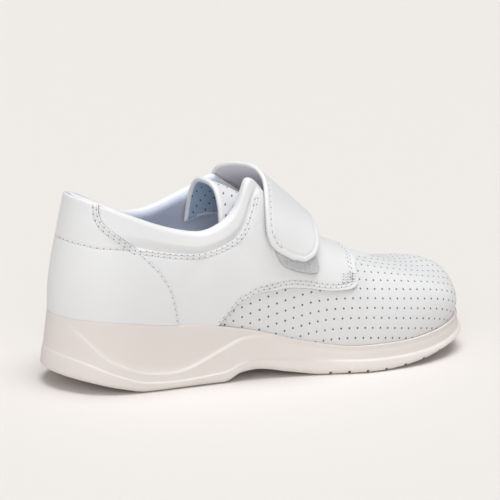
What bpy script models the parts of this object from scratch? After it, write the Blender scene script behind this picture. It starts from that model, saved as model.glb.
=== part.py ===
"""A low white work shoe for the right foot, with one closing strap over the instep.

Metres, +Z up, toe towards +Y, outer side of the foot towards +X. The shoe stands empty on its
sole. The upper is one hollow shell between four closed loops that run round the last: the
feather line on the sole, a wall loop and a shoulder loop that shape the sides and the toe box,
and the edge of the opening. Panels, strap, tongue, insole and sole follow the same loops.
"""

import math
from collections import namedtuple

import bpy
import numpy as np

# Sole
LENGTH = 0.268
BALL_WIDTH = 0.0925
HEEL_WIDTH = 0.0655
HEEL_THICKNESS = 0.0405
BALL_THICKNESS = 0.0152
TOE_RISE = 0.0070
HEEL_BEVEL = 0.0090
TOE_SPRING = 0.0120
ARCH_RISE = 0.0056
SIDE_TAPER = 0.0022
PANEL_STEP = 0.0014
RIB_STEP = 0.0010
LEDGE_HALF = 0.0009
SOLE_EDGE_RADIUS = 0.0026
LIP_WIDTH = 0.0016
LIP_DEPTH = 0.0013
TREAD_DEPTH = 0.0022
TREAD_WIDTH = 0.0024
GROOVE_REACH = 0.62
FOREFOOT_BOW = 0.0137
HEEL_BOW = 0.0023
HEEL_TREAD_WIDTH = 0.0460

# Upper
INSTEP_RISE = 0.0800
TOE_BOX_RISE = 0.0520
WALL = 0.0022
COLLAR_PAD = 0.0040
COLLAR_SWELL = 0.0018
PAD_DEPTH = 0.0200

# Pieces on and in the upper
FIT_GAP = 0.0003
PANEL_GAP = 0.0007
PANEL_THICKNESS = 0.0012
TONGUE_THICKNESS = 0.0030
TONGUE_TURN = math.radians(80)
INSOLE_THICKNESS = 0.0040
STRAP_THICKNESS = 0.0024
PATCH_THICKNESS = 0.0022

# Mesh fineness
SIDE_STEPS = 36
WALL_STEPS = 11
BAND_STEPS = 4
LINING_STEPS = 6
LIP_STEPS = 4
SEAT_STEPS = 4
UNDERSIDE_STEPS = 4
INSOLE_STEPS = 3
PLACES = 4000
SHARP_ANGLE = math.radians(40)

# A row for each section round the shoe, from the back of the heel along the outer side to the
# toe and back along the inner side.
# side, along: the sole's outline, as shares of the local half width and of the length.
# belly, rise: the wall loop, out and up from the feather line, as shares of the toe box rise.
# reach, ahead, drop: the shoulder loop, out, forward and down from the opening's edge, as shares
# of half the ball width, the length and the instep rise.
# edge_side, edge_along, edge_up: the opening's edge, as shares of half the ball width, the length
# and the instep rise above the heel's thickness. pad: the share of the collar's padding. band: how
# far up the section the padded band starts.
Section = namedtuple(
    "Section",
    "name side along belly rise reach ahead drop edge_side edge_along edge_up pad band",
)
SECTIONS = [
    Section("heel_back", 0.00, 0.000, 0.035, 0.45, 0.00, -0.012, 0.28, 0.00, 0.044, 0.765, 0.4, 0.66),
    Section("heel_curve", 0.56, 0.028, 0.035, 0.45, 0.04, -0.010, 0.28, 0.21, 0.055, 0.755, 0.4, 0.66),
    Section("heel_corner", 0.88, 0.085, 0.045, 0.45, 0.08, -0.003, 0.27, 0.40, 0.095, 0.700, 0.65, 0.7),
    Section("heel_side", 0.99, 0.170, 0.055, 0.42, 0.11, 0.000, 0.25, 0.50, 0.165, 0.600, 1.0, 0.79),
    Section("ankle", 1.00, 0.300, 0.055, 0.38, 0.12, 0.004, 0.22, 0.555, 0.262, 0.512, 1.0, 0.835),
    Section("waist", 0.93, 0.420, 0.050, 0.38, 0.13, 0.010, 0.22, 0.575, 0.328, 0.540, 1.0, 0.868),
    Section("facing_rear", 0.935, 0.480, 0.050, 0.38, 0.13, 0.020, 0.28, 0.545, 0.370, 0.645, 0.9, 0.883),
    Section("facing_top", 0.95, 0.550, 0.050, 0.38, 0.15, 0.034, 0.34, 0.490, 0.402, 0.850, 0.7, 0.93),
    Section("facing_upper", 0.97, 0.605, 0.050, 0.40, 0.20, 0.044, 0.32, 0.420, 0.436, 0.800, 0.35, 0.95),
    Section("facing", 1.00, 0.660, 0.050, 0.42, 0.24, 0.052, 0.28, 0.360, 0.472, 0.695, 0.1, 0.94),
    Section("facing_mid", 1.01, 0.725, 0.050, 0.44, 0.28, 0.060, 0.24, 0.305, 0.510, 0.590, 0.0, 0.9),
    Section("facing_low", 0.98, 0.790, 0.050, 0.50, 0.29, 0.080, 0.24, 0.250, 0.548, 0.500, 0.0, 0.9),
    Section("toe_side", 0.86, 0.870, 0.075, 0.55, 0.29, 0.120, 0.290, 0.190, 0.580, 0.435, 0.0, 0.9),
    Section("toe_corner", 0.62, 0.945, 0.140, 0.60, 0.22, 0.184, 0.268, 0.110, 0.603, 0.395, 0.0, 0.9),
    Section("toe_curve", 0.24, 0.992, 0.190, 0.62, 0.09, 0.245, 0.440, 0.020, 0.612, 0.380, 0.0, 0.9),
    Section("toe_tip", -0.16, 1.000, 0.240, 0.83, -0.05, 0.247, 0.440, -0.100, 0.612, 0.380, 0.0, 0.9),
    Section("toe_turn", -0.54, 0.965, 0.135, 0.885, -0.20, 0.190, 0.455, -0.200, 0.603, 0.395, 0.0, 0.9),
    Section("toe_inner", -0.80, 0.900, 0.060, 0.62, -0.28, 0.130, 0.30, -0.280, 0.580, 0.435, 0.0, 0.9),
    Section("ball_toe", -0.95, 0.810, 0.050, 0.52, -0.29, 0.085, 0.25, -0.335, 0.548, 0.500, 0.0, 0.9),
    Section("ball", -0.97, 0.720, 0.050, 0.47, -0.28, 0.060, 0.24, -0.385, 0.510, 0.590, 0.0, 0.9),
    Section("ball_rear", -0.92, 0.640, 0.050, 0.43, -0.24, 0.048, 0.28, -0.430, 0.468, 0.690, 0.1, 0.94),
    Section("inner_upper", -0.87, 0.575, 0.050, 0.40, -0.20, 0.040, 0.30, -0.475, 0.440, 0.745, 0.3, 0.95),
    Section("inner_top", -0.835, 0.515, 0.050, 0.38, -0.16, 0.030, 0.30, -0.515, 0.415, 0.770, 0.7, 0.93),
    Section("inner_rear", -0.80, 0.455, 0.050, 0.37, -0.14, 0.020, 0.26, -0.545, 0.380, 0.710, 0.9, 0.883),
    Section("arch", -0.80, 0.385, 0.050, 0.36, -0.13, 0.012, 0.24, -0.560, 0.325, 0.625, 1.0, 0.868),
    Section("inner_ankle", -0.88, 0.280, 0.055, 0.36, -0.12, 0.004, 0.23, -0.550, 0.250, 0.545, 1.0, 0.835),
    Section("inner_heel", -0.95, 0.170, 0.060, 0.40, -0.11, 0.000, 0.25, -0.490, 0.165, 0.585, 1.0, 0.79),
    Section("inner_corner", -0.85, 0.085, 0.050, 0.45, -0.08, -0.003, 0.27, -0.400, 0.095, 0.695, 0.75, 0.7),
    Section("inner_curve", -0.54, 0.028, 0.035, 0.45, -0.04, -0.010, 0.28, -0.210, 0.055, 0.755, 0.4, 0.66),
]

# The sole's side seen from the side. along: share of the length. heel, toe: the top edge's shares
# of the heel's extra thickness and of the toe rise.
TopLine = namedtuple("TopLine", "along heel toe")
TOP_LINE = [
    TopLine(0.00, 1.00, 0.0),
    TopLine(0.10, 0.95, 0.0),
    TopLine(0.20, 0.83, 0.0),
    TopLine(0.30, 0.71, 0.0),
    TopLine(0.42, 0.47, 0.0),
    TopLine(0.53, 0.17, 0.0),
    TopLine(0.64, 0.00, 0.0),
    TopLine(0.74, 0.00, 0.0),
    TopLine(0.85, 0.00, 0.24),
    TopLine(1.00, 0.00, 1.0),
]
# bevel, arch, spring: the bottom's shares of the heel bevel, the arch rise and the toe spring.
BottomLine = namedtuple("BottomLine", "along bevel arch spring")
BOTTOM_LINE = [
    BottomLine(0.00, 1.00, 0.0, 0.0),
    BottomLine(0.05, 0.70, 0.0, 0.0),
    BottomLine(0.11, 0.30, 0.0, 0.0),
    BottomLine(0.17, 0.00, 0.0, 0.0),
    BottomLine(0.345, 0.00, 0.0, 0.0),
    BottomLine(0.385, 0.00, 0.80, 0.0),
    BottomLine(0.42, 0.00, 1.00, 0.0),
    BottomLine(0.50, 0.00, 0.45, 0.0),
    BottomLine(0.575, 0.00, 0.0, 0.0),
    BottomLine(0.70, 0.00, 0.0, 0.0),
    BottomLine(0.80, 0.00, 0.0, 0.18),
    BottomLine(0.89, 0.00, 0.0, 0.50),
    BottomLine(1.00, 0.00, 0.0, 1.0),
]
# The two moulded lines on the sole's side, as shares of its local height, and how much of its
# step each one has there.
SideLine = namedtuple("SideLine", "along panel panel_step rib rib_step")
SIDE_LINES = [
    SideLine(0.000, 0.93, 0.0, 0.36, 0.3),
    SideLine(0.030, 0.86, 0.1, 0.34, 0.4),
    SideLine(0.045, 0.64, 0.7, 0.31, 0.6),
    SideLine(0.070, 0.45, 1.0, 0.26, 1.0),
    SideLine(0.105, 0.37, 1.0, 0.20, 1.0),
    SideLine(0.150, 0.30, 1.0, 0.16, 1.0),
    SideLine(0.200, 0.27, 1.0, 0.135, 1.0),
    SideLine(0.240, 0.27, 1.0, 0.13, 1.0),
    SideLine(0.280, 0.37, 1.0, 0.15, 1.0),
    SideLine(0.330, 0.57, 1.0, 0.19, 1.0),
    SideLine(0.370, 0.75, 1.0, 0.24, 0.8),
    SideLine(0.410, 0.87, 0.7, 0.27, 0.0),
    SideLine(0.460, 0.93, 0.0, 0.32, 0.0),
    SideLine(0.540, 0.93, 0.0, 0.46, 0.1),
    SideLine(0.620, 0.93, 0.0, 0.50, 1.0),
    SideLine(0.780, 0.93, 0.0, 0.44, 1.0),
    SideLine(0.880, 0.93, 0.0, 0.34, 1.0),
    SideLine(1.000, 0.93, 0.0, 0.30, 1.0),
]
# The heel counter's edge, from the sole up to the collar: how far round it reaches at each height,
# as a section number and a share up the section. The inner side mirrors the outer one.
CounterRow = namedtuple("CounterRow", "height section")
COUNTER = [
    CounterRow(0.028, 3.52),
    CounterRow(0.22, 3.45),
    CounterRow(0.39, 3.38),
    CounterRow(0.49, 3.29),
    CounterRow(0.60, 3.16),
    CounterRow(0.69, 2.96),
    CounterRow(0.76, 2.68),
    CounterRow(0.80, 2.40),
    CounterRow(0.85, 2.05),
    CounterRow(0.90, 1.75),
    CounterRow(0.965, 1.60),
]
# The quarter's lower and upper edges from the counter seam to the middle of the throat, as section
# numbers and shares up the section. The inner side mirrors the outer one.
QuarterRow = namedtuple("QuarterRow", "low_section low_height high_section high_height")
QUARTER = [
    QuarterRow(3.60, 0.030, 2.80, 0.765),
    QuarterRow(4.00, 0.030, 3.05, 0.790),
    QuarterRow(4.38, 0.042, 3.45, 0.808),
    QuarterRow(4.50, 0.106, 3.85, 0.825),
    QuarterRow(4.65, 0.206, 4.35, 0.845),
    QuarterRow(4.85, 0.300, 4.80, 0.860),
    QuarterRow(5.20, 0.369, 5.30, 0.872),
    QuarterRow(5.70, 0.408, 5.90, 0.878),
    QuarterRow(6.35, 0.413, 6.35, 0.885),
    QuarterRow(7.25, 0.397, 6.75, 0.905),
    QuarterRow(8.40, 0.400, 7.10, 0.940),
    QuarterRow(9.30, 0.412, 7.50, 0.970),
    QuarterRow(9.75, 0.433, 8.20, 0.972),
    QuarterRow(10.10, 0.475, 9.00, 0.972),
    QuarterRow(10.50, 0.545, 9.80, 0.972),
    QuarterRow(11.15, 0.638, 10.80, 0.974),
    QuarterRow(11.80, 0.725, 11.70, 0.977),
    QuarterRow(12.50, 0.800, 12.60, 0.981),
    QuarterRow(13.30, 0.868, 13.40, 0.984),
    QuarterRow(14.00, 0.892, 14.00, 0.985),
    QuarterRow(14.50, 0.895, 14.50, 0.985),
]
# The tongue from under the vamp to its free top. along: share of the length. up, drop: the height
# of its ridge above the heel's thickness and the fall to its edges, as shares of the instep rise.
# side: half its width as a share of half the ball width.
TongueRow = namedtuple("TongueRow", "along up side drop")
TONGUE = [
    TongueRow(0.645, 0.293, 0.24, 0.05),
    TongueRow(0.600, 0.353, 0.33, 0.09),
    TongueRow(0.550, 0.474, 0.38, 0.12),
    TongueRow(0.500, 0.590, 0.40, 0.15),
    TongueRow(0.435, 0.708, 0.385, 0.19),
    TongueRow(0.395, 0.775, 0.392, 0.25),
    TongueRow(0.347, 0.840, 0.408, 0.34),
]
# The closing patch under the strap's end. height: share up the sections. rear, front: section
# numbers.
PatchRow = namedtuple("PatchRow", "height rear front")
PATCH = [
    PatchRow(0.592, 7.20, 7.90),
    PatchRow(0.602, 7.00, 8.15),
    PatchRow(0.625, 6.82, 8.45),
    PatchRow(0.660, 6.74, 8.72),
    PatchRow(0.700, 6.80, 8.85),
    PatchRow(0.728, 6.95, 8.80),
    PatchRow(0.740, 7.15, 8.60),
]
# The strap. The held rows lie on the shoe's outer and inner side, at section numbers and shares up
# them. The free rows arch over the instep. side: share of half the ball width. along: share of
# the length. up: share of the instep rise above the heel's thickness.
HeldRow = namedtuple("HeldRow", "rear_section rear_height front_section front_height")
STRAP_END = [
    HeldRow(7.15, 0.556, 7.65, 0.550),
    HeldRow(6.85, 0.585, 8.05, 0.560),
    HeldRow(6.62, 0.625, 8.40, 0.585),
    HeldRow(6.50, 0.665, 8.75, 0.618),
    HeldRow(6.46, 0.700, 9.00, 0.652),
    HeldRow(6.50, 0.735, 9.30, 0.690),
    HeldRow(6.68, 0.775, 9.60, 0.732),
]
STRAP_ROOT = [
    HeldRow(21.95, 0.830, 19.55, 0.700),
    HeldRow(22.10, 0.740, 19.70, 0.620),
    HeldRow(22.20, 0.640, 19.80, 0.540),
    HeldRow(22.25, 0.550, 19.90, 0.460),
    HeldRow(22.15, 0.510, 20.10, 0.430),
]
FreeRow = namedtuple("FreeRow", "rear_side rear_along rear_up front_side front_along front_up")
STRAP_ARCH = [
    FreeRow(0.675, 0.429, 0.705, 0.485, 0.575, 0.514),
    FreeRow(0.590, 0.434, 0.800, 0.335, 0.588, 0.525),
    FreeRow(0.375, 0.451, 0.880, 0.150, 0.593, 0.558),
    FreeRow(0.195, 0.451, 0.932, 0.000, 0.593, 0.584),
    FreeRow(0.000, 0.441, 0.938, -0.195, 0.588, 0.590),
    FreeRow(-0.180, 0.430, 0.922, -0.390, 0.580, 0.565),
    FreeRow(-0.400, 0.420, 0.885, -0.585, 0.570, 0.500),
    FreeRow(-0.650, 0.422, 0.765, -0.715, 0.550, 0.425),
]
FOREFOOT_GROOVES = [0.587, 0.631, 0.675, 0.722, 0.772, 0.822, 0.868]
HEEL_GROOVES = [0.185, 0.225, 0.265, 0.305]


def eased(x, xs, ys):
    """A smooth curve through the points (xs, ys) that never overshoots them."""
    xs, ys = np.asarray(xs, float), np.asarray(ys, float)
    step = np.diff(xs)
    slope = np.diff(ys) / step
    tangent = np.zeros(len(xs))
    flat = slope[:-1] * slope[1:] <= 0
    weight_a = 2 * step[1:] + step[:-1]
    weight_b = step[1:] + 2 * step[:-1]
    safe_a = np.where(flat, 1, slope[:-1])
    safe_b = np.where(flat, 1, slope[1:])
    mean = (weight_a + weight_b) / (weight_a / safe_a + weight_b / safe_b)
    tangent[1:-1] = np.where(flat, 0, mean)
    tangent[[0, -1]] = slope[[0, -1]]
    x = np.clip(x, xs[0], xs[-1])
    i = np.clip(np.searchsorted(xs, x, side="right") - 1, 0, len(step) - 1)
    q = (x - xs[i]) / step[i]
    rise = (1 + 2 * q) * (1 - q) ** 2 * ys[i] + q * q * (3 - 2 * q) * ys[i + 1]
    return rise + step[i] * q * (1 - q) * ((1 - q) * tangent[i] - q * tangent[i + 1])


def column(rows, name):
    return np.array([getattr(row, name) for row in rows], float)


def closed_spline(knots, total, values, x):
    """A smooth closed curve through one value a knot, with its own period."""
    n = len(knots)
    gaps = np.diff(np.append(knots, total))
    before = np.roll(gaps, 1)
    matrix = np.zeros((n, n))
    rows = np.arange(n)
    matrix[rows, rows] = 2 * (before + gaps)
    matrix[rows, (rows - 1) % n] += before
    matrix[rows, (rows + 1) % n] += gaps
    ahead = np.roll(values, -1, axis=0)
    behind = np.roll(values, 1, axis=0)
    right = 6 * ((ahead - values) / gaps[:, None] - (values - behind) / before[:, None])
    bend = np.linalg.solve(matrix, right)
    x = np.mod(x, total)
    i = np.searchsorted(knots, x, side="right") - 1
    gap = gaps[i][..., None]
    q = ((x - knots[i]) / gaps[i])[..., None]
    p = 1 - q
    j = (i + 1) % n
    curve = p * values[i] + q * values[j]
    return curve + ((p**3 - p) * bend[i] + (q**3 - q) * bend[j]) * gap**2 / 6


def half_width(along):
    """Half the sole's width where the outline's share is 1: the heel's, the ball's or between."""
    ball = eased(along, [0.30, 0.66], [0.0, 1.0])
    return (HEEL_WIDTH + (BALL_WIDTH - HEEL_WIDTH) * ball) / 2


ALONG = column(SECTIONS, "along")
OUTLINE = np.column_stack(
    [column(SECTIONS, "side") * half_width(ALONG), (ALONG - 0.5) * LENGTH]
)
OUTLINE_GAPS = np.linalg.norm(np.roll(OUTLINE, -1, axis=0) - OUTLINE, axis=1)
KNOTS = np.concatenate([[0.0], np.cumsum(OUTLINE_GAPS)[:-1]])
ROUND = OUTLINE_GAPS.sum()
TANGENT_STEP = ROUND * 1e-4


def around(number):
    """The place round the outline of a section number, such as 4.5 for half way past number 4."""
    laps, rest = np.divmod(number, len(SECTIONS))
    return np.interp(rest, np.arange(len(SECTIONS) + 1), np.append(KNOTS, ROUND)) + laps * ROUND


def outline(t):
    return closed_spline(KNOTS, ROUND, OUTLINE, t)


def outward(t):
    """The outline's outward direction in plan."""
    along = outline(t + TANGENT_STEP) - outline(t - TANGENT_STEP)
    along /= np.linalg.norm(along, axis=-1, keepdims=True)
    return np.stack([along[..., 1], -along[..., 0]], axis=-1)


def share_along(y):
    return y / LENGTH + 0.5


def sole_top(y):
    """Height of the sole's top edge."""
    s = share_along(y)
    heel = eased(s, column(TOP_LINE, "along"), column(TOP_LINE, "heel"))
    toe = eased(s, column(TOP_LINE, "along"), column(TOP_LINE, "toe"))
    return BALL_THICKNESS + (HEEL_THICKNESS - BALL_THICKNESS) * heel + TOE_RISE * toe


def sole_bottom(y):
    """Height of the sole's underside: nought where the heel and the forefoot stand."""
    s = share_along(y)
    rows = column(BOTTOM_LINE, "along")
    bevel = HEEL_BEVEL * eased(s, rows, column(BOTTOM_LINE, "bevel"))
    arch = ARCH_RISE * eased(s, rows, column(BOTTOM_LINE, "arch"))
    spring = TOE_SPRING * eased(s, rows, column(BOTTOM_LINE, "spring"))
    return bevel + arch + spring


def side_line(y, name):
    return eased(share_along(y), column(SIDE_LINES, "along"), column(SIDE_LINES, name))


def seat(y):
    """Height of the sole's seat, inside its lip."""
    return sole_top(y) - LIP_DEPTH


FEATHER_INSET = SIDE_TAPER + LIP_WIDTH + 2.5 * FIT_GAP


def loops(t):
    """The four loops of the upper at t: feather line, wall, shoulder and opening edge."""
    half_ball = BALL_WIDTH / 2
    rows = np.column_stack(
        [
            column(SECTIONS, "belly") * TOE_BOX_RISE,
            column(SECTIONS, "rise") * TOE_BOX_RISE,
            column(SECTIONS, "reach") * half_ball,
            column(SECTIONS, "ahead") * LENGTH,
            column(SECTIONS, "drop") * INSTEP_RISE,
            column(SECTIONS, "edge_side") * half_ball,
            (column(SECTIONS, "edge_along") - 0.5) * LENGTH,
            column(SECTIONS, "edge_up") * INSTEP_RISE,
            column(SECTIONS, "pad"),
            column(SECTIONS, "band"),
        ]
    )
    belly, rise, reach, ahead, drop, edge_x, edge_y, edge_z, pad, band = np.moveaxis(
        closed_spline(KNOTS, ROUND, rows, t), -1, 0
    )
    out = outward(t)
    foot = outline(t) - FEATHER_INSET * out
    feather = np.dstack([foot, seat(foot[..., 1]) + FIT_GAP])
    wall = feather + np.dstack([out * belly[..., None], rise])
    edge = np.dstack([edge_x, edge_y, HEEL_THICKNESS + edge_z])
    shoulder = edge + np.dstack([reach, ahead, -drop])
    return feather, wall, shoulder, edge, np.clip(pad, 0, 1), band


def upper_point(t, v):
    """A point of the upper at t round it and v up it: the point, its normal, the direction up the
    section, the outward swell of the collar and the wall's thickness.

    Each section is a cubic curve from the feather line (v 0) to the opening's edge (v 1), drawn by
    the four loops.
    """
    t, v = np.broadcast_arrays(np.atleast_2d(t).astype(float), np.atleast_2d(v).astype(float))

    def bare(t, v):
        a, b, c, d, pad, band = loops(t)
        v = v[..., None]
        p = 1 - v
        return p**3 * a + 3 * p * p * v * b + 3 * p * v * v * c + v**3 * d, c, d, pad, band

    here, shoulder, edge, pad, start = bare(t, v)
    dv = np.where(v > 0.5, -1e-4, 1e-4)
    dt = TANGENT_STEP
    up = (bare(t, v + dv)[0] - here) / dv[..., None]
    along = bare(t + dt, v)[0] - bare(t - dt, v)[0]
    normal = np.cross(along, up)
    normal /= np.linalg.norm(normal, axis=-1, keepdims=True)
    up /= np.linalg.norm(up, axis=-1, keepdims=True)
    speed = 3 * np.linalg.norm(edge - shoulder, axis=-1)
    band = np.clip((v - start) / (1 - start), 0, 1)
    lining = np.clip(1 - (1 - v) * speed / PAD_DEPTH, 0, 1)
    rise = np.clip(2 * band, 0, 1)
    swell = COLLAR_SWELL * pad**2 * rise * rise * (3 - 2 * rise)
    inner = WALL + COLLAR_PAD * pad * lining * lining * (3 - 2 * lining)
    return here, normal, up, swell, inner


def outer_face(t, v, lift=0.0):
    here, normal, _, swell, _ = upper_point(t, v)
    return here + normal * (swell + lift)[..., None]


def inner_face(t, v, lift=0.0):
    """The lining's face. Near the sole it keeps clear of the seat."""
    here, normal, _, _, inner = upper_point(t, v)
    face = here - normal * (inner + lift)[..., None]
    face[..., 2] = np.maximum(face[..., 2], seat(face[..., 1]) + FIT_GAP)
    return face


def ring_places():
    """Places round the outline, in pairs at the same distance along the shoe on its two sides."""
    y = outline(np.linspace(0, ROUND, PLACES + 1))[:, 1]
    toe = int(y.argmax())
    heel = int(y.argmin())
    heel = heel if heel < toe else heel - PLACES
    steps = (1 - np.cos(np.pi * np.arange(SIDE_STEPS + 1) / SIDE_STEPS)) / 2
    level = y[heel % PLACES] + steps * (y[toe] - y[heel % PLACES])
    outer_side = np.arange(heel, toe + 1)
    inner_side = np.arange(toe, heel + PLACES + 1)
    outer = np.interp(level, y[outer_side % PLACES], outer_side * ROUND / PLACES)
    inner = np.interp(-level, -y[inner_side % PLACES], inner_side * ROUND / PLACES)
    return np.concatenate([outer, inner[-2:0:-1]])


RING = ring_places()


def loft_faces(rows, count, first=0, closed=False):
    """Quads between rows of count points each, each row a closed ring."""
    faces = []
    last = rows if closed else rows - 1
    for r in range(last):
        a = first + r * count
        b = first + ((r + 1) % rows) * count
        for k in range(count):
            n = (k + 1) % count
            faces.append((a + k, a + n, b + n, b + k))
    return faces


def cap_grid(ring, height, steps):
    """Points and faces that close a ring with cross rows, seen from above. height gives z at y."""
    count = len(ring)
    half = count // 2
    points = []
    rows = [[0]]
    for j in range(1, half):
        outer, inner = ring[j], ring[count - j]
        row = [j]
        for k in range(1, steps):
            p = outer + (inner - outer) * k / steps
            row.append(count + len(points))
            points.append((p[0], p[1], height(np.array([p[1]]))[0]))
        row.append(count - j)
        rows.append(row)
    rows.append([half])
    faces = []
    for low, high in zip(rows, rows[1:]):
        if len(low) == 1:
            faces += [(low[0], high[k], high[k + 1]) for k in range(steps)]
        elif len(high) == 1:
            faces += [(low[k + 1], low[k], high[0]) for k in range(steps)]
        else:
            faces += [(low[k + 1], low[k], high[k], high[k + 1]) for k in range(steps)]
    return np.array(points).reshape(-1, 3), faces


def material(name, colour, roughness):
    made = bpy.data.materials.new(name)
    made.use_nodes = True
    shader = made.node_tree.nodes["Principled BSDF"]
    shader.inputs["Base Color"].default_value = (*colour, 1.0)
    shader.inputs["Roughness"].default_value = roughness
    made.diffuse_color = (*colour, 1.0)
    return made


def add_object(name, points, faces, finish, collection, smooth=True):
    mesh = bpy.data.meshes.new(name)
    mesh.from_pydata([tuple(map(float, p - MIDDLE)) for p in points], [], faces)
    mesh.materials.append(finish)
    if smooth:
        mesh.shade_smooth()
        mesh.set_sharp_from_angle(angle=SHARP_ANGLE)
    made = bpy.data.objects.new(name, mesh)
    collection.objects.link(made)
    return made


def slab(top, bottom):
    """A closed sheet between two grids of the same shape, the first one outside."""
    rows, cols = top.shape[:2]
    points = np.concatenate([top.reshape(-1, 3), bottom.reshape(-1, 3)])
    shift = rows * cols
    faces = []
    for r in range(rows - 1):
        for c in range(cols - 1):
            a, b = r * cols + c, r * cols + c + 1
            d, e = a + cols, b + cols
            faces.append((a, b, e, d))
            faces.append((a + shift, d + shift, e + shift, b + shift))
    rim = [(0, c) for c in range(cols)]
    rim += [(r, cols - 1) for r in range(1, rows)]
    rim += [(rows - 1, c) for c in range(cols - 2, -1, -1)]
    rim += [(r, 0) for r in range(rows - 2, 0, -1)]
    ids = [r * cols + c for r, c in rim]
    for a, b in zip(ids, ids[1:] + ids[:1]):
        faces.append((b, a, a + shift, b + shift))
    return points, faces


def build_upper(finish, collection):
    """The hollow shell: outer face up, round the opening's lip, and down the lining."""
    count = len(RING)
    rows = []
    band = loops(RING[None, :])[5][0]
    for share in np.linspace(0, 1, WALL_STEPS):
        rows.append(outer_face(RING, share * band)[0])
    for share in np.linspace(0, 1, BAND_STEPS + 1)[1:]:
        rows.append(outer_face(RING, band + (1 - band) * share)[0])
    here, normal, up, swell, inner = (part[0] for part in upper_point(RING, 1.0))
    middle = (swell - inner)[:, None] / 2
    radius = (swell + inner)[:, None] / 2
    for k in range(1, LIP_STEPS):
        turn = math.pi * k / LIP_STEPS
        across = middle + radius * math.cos(turn)
        rows.append(here + normal * across + up * radius * math.sin(turn))
    for v in np.linspace(1, 0, LINING_STEPS):
        rows.append(inner_face(RING, v)[0])
    points = np.concatenate(rows)
    faces = loft_faces(len(rows), count, closed=True)
    return add_object("upper", points, faces, finish, collection)


def side_rows():
    """The rows of the sole's side, from the seat over the lip and down to the underside."""
    out = outward(RING)
    edge = outline(RING)
    y = edge[:, 1]
    top, bottom = sole_top(y), sole_bottom(y)
    height = top - bottom
    panel, rib = side_line(y, "panel"), side_line(y, "rib")
    panel_step = PANEL_STEP * side_line(y, "panel_step")
    rib_step = RIB_STEP * side_line(y, "rib_step")

    def row(offset, z):
        place = edge + out * np.broadcast_to(offset, y.shape)[:, None]
        return np.column_stack([place, z(place[:, 1]) if callable(z) else z])

    taper = -SIDE_TAPER
    lip = -SIDE_TAPER - LIP_WIDTH
    rows = [
        row(lip, seat),
        row(lip, top - 0.25 * LIP_DEPTH),
        row(lip + 0.35 * LIP_WIDTH, top),
        row(taper - 0.30 * LIP_WIDTH, top),
        row(taper, top - 0.55 * LIP_DEPTH),
        row(taper * panel - panel_step / 2, bottom + height * panel + LEDGE_HALF),
        row(taper * panel + panel_step / 2, bottom + height * panel - LEDGE_HALF),
        row(taper * (panel + rib) / 2 + panel_step * 0.45, bottom + height * (panel + rib) / 2),
        row(taper * rib + panel_step * 0.5, bottom + height * rib + LEDGE_HALF / 2),
        row(taper * rib + rib_step + panel_step * 0.4, bottom + height * rib - LEDGE_HALF / 2),
        row(rib_step + panel_step * 0.2, bottom + np.minimum(SOLE_EDGE_RADIUS, height * rib / 2)),
        row(rib_step * 0.5 - 0.35 * SOLE_EDGE_RADIUS, bottom + 0.2 * SOLE_EDGE_RADIUS),
        row(-SOLE_EDGE_RADIUS, sole_bottom),
    ]
    return rows


SIDE_POINTS = np.concatenate(side_rows())
MIDDLE = (SIDE_POINTS.min(axis=0) + SIDE_POINTS.max(axis=0)) / 2 * np.array([1, 1, 0])


def build_sole(finish, collection, cutters):
    """One moulded unit: seat and lip above, panel and rib on the side, grooves below."""
    rows = side_rows()
    count = len(RING)
    side = np.concatenate(rows)
    inner_seat, seat_faces = cap_grid(rows[0], seat, SEAT_STEPS)
    under, under_faces = cap_grid(rows[-1], sole_bottom, UNDERSIDE_STEPS)
    points = np.concatenate([side, inner_seat, under])
    faces = [f[::-1] for f in loft_faces(len(rows), count)]
    seat_first = len(side)
    under_first = seat_first + len(inner_seat)
    bottom_ring = (len(rows) - 1) * count
    for f in seat_faces:
        faces.append(tuple(i if i < count else i - count + seat_first for i in f))
    for f in under_faces:
        ids = tuple(i + bottom_ring if i < count else i - count + under_first for i in f)
        faces.append(ids[::-1])
    sole = add_object("sole", points, faces, finish, collection)
    for number, along in enumerate(FOREFOOT_GROOVES):
        cut_groove(sole, f"forefoot_groove_{number}", along, BALL_WIDTH, FOREFOOT_BOW, cutters)
    for number, along in enumerate(HEEL_GROOVES):
        cut_groove(sole, f"heel_groove_{number}", along, HEEL_TREAD_WIDTH, HEEL_BOW, cutters)
    return sole


def cut_groove(sole, name, along, width, bow, cutters):
    """Cuts one tread groove: a square bar across the sole, whose ends bow back by bow."""
    reach = np.linspace(-1, 1, 7)
    across = reach * GROOVE_REACH * width
    path_y = (along - 0.5) * LENGTH - bow * reach**2
    z = sole_bottom(path_y)
    low, high = z - 2 * TREAD_DEPTH, z + TREAD_DEPTH
    top = np.stack(
        [
            np.column_stack([across, path_y - TREAD_WIDTH / 2, high]),
            np.column_stack([across, path_y + TREAD_WIDTH / 2, high]),
        ]
    )
    bottom = top.copy()
    bottom[..., 2] = low
    points, faces = slab(top, bottom)
    cutter = add_object(name, points, faces, sole.data.materials[0], cutters, False)
    cutter.hide_render = True
    cutter.display_type = "WIRE"
    cut = sole.modifiers.new(name, "BOOLEAN")
    cut.operation = "DIFFERENCE"
    cut.object = cutter


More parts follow.
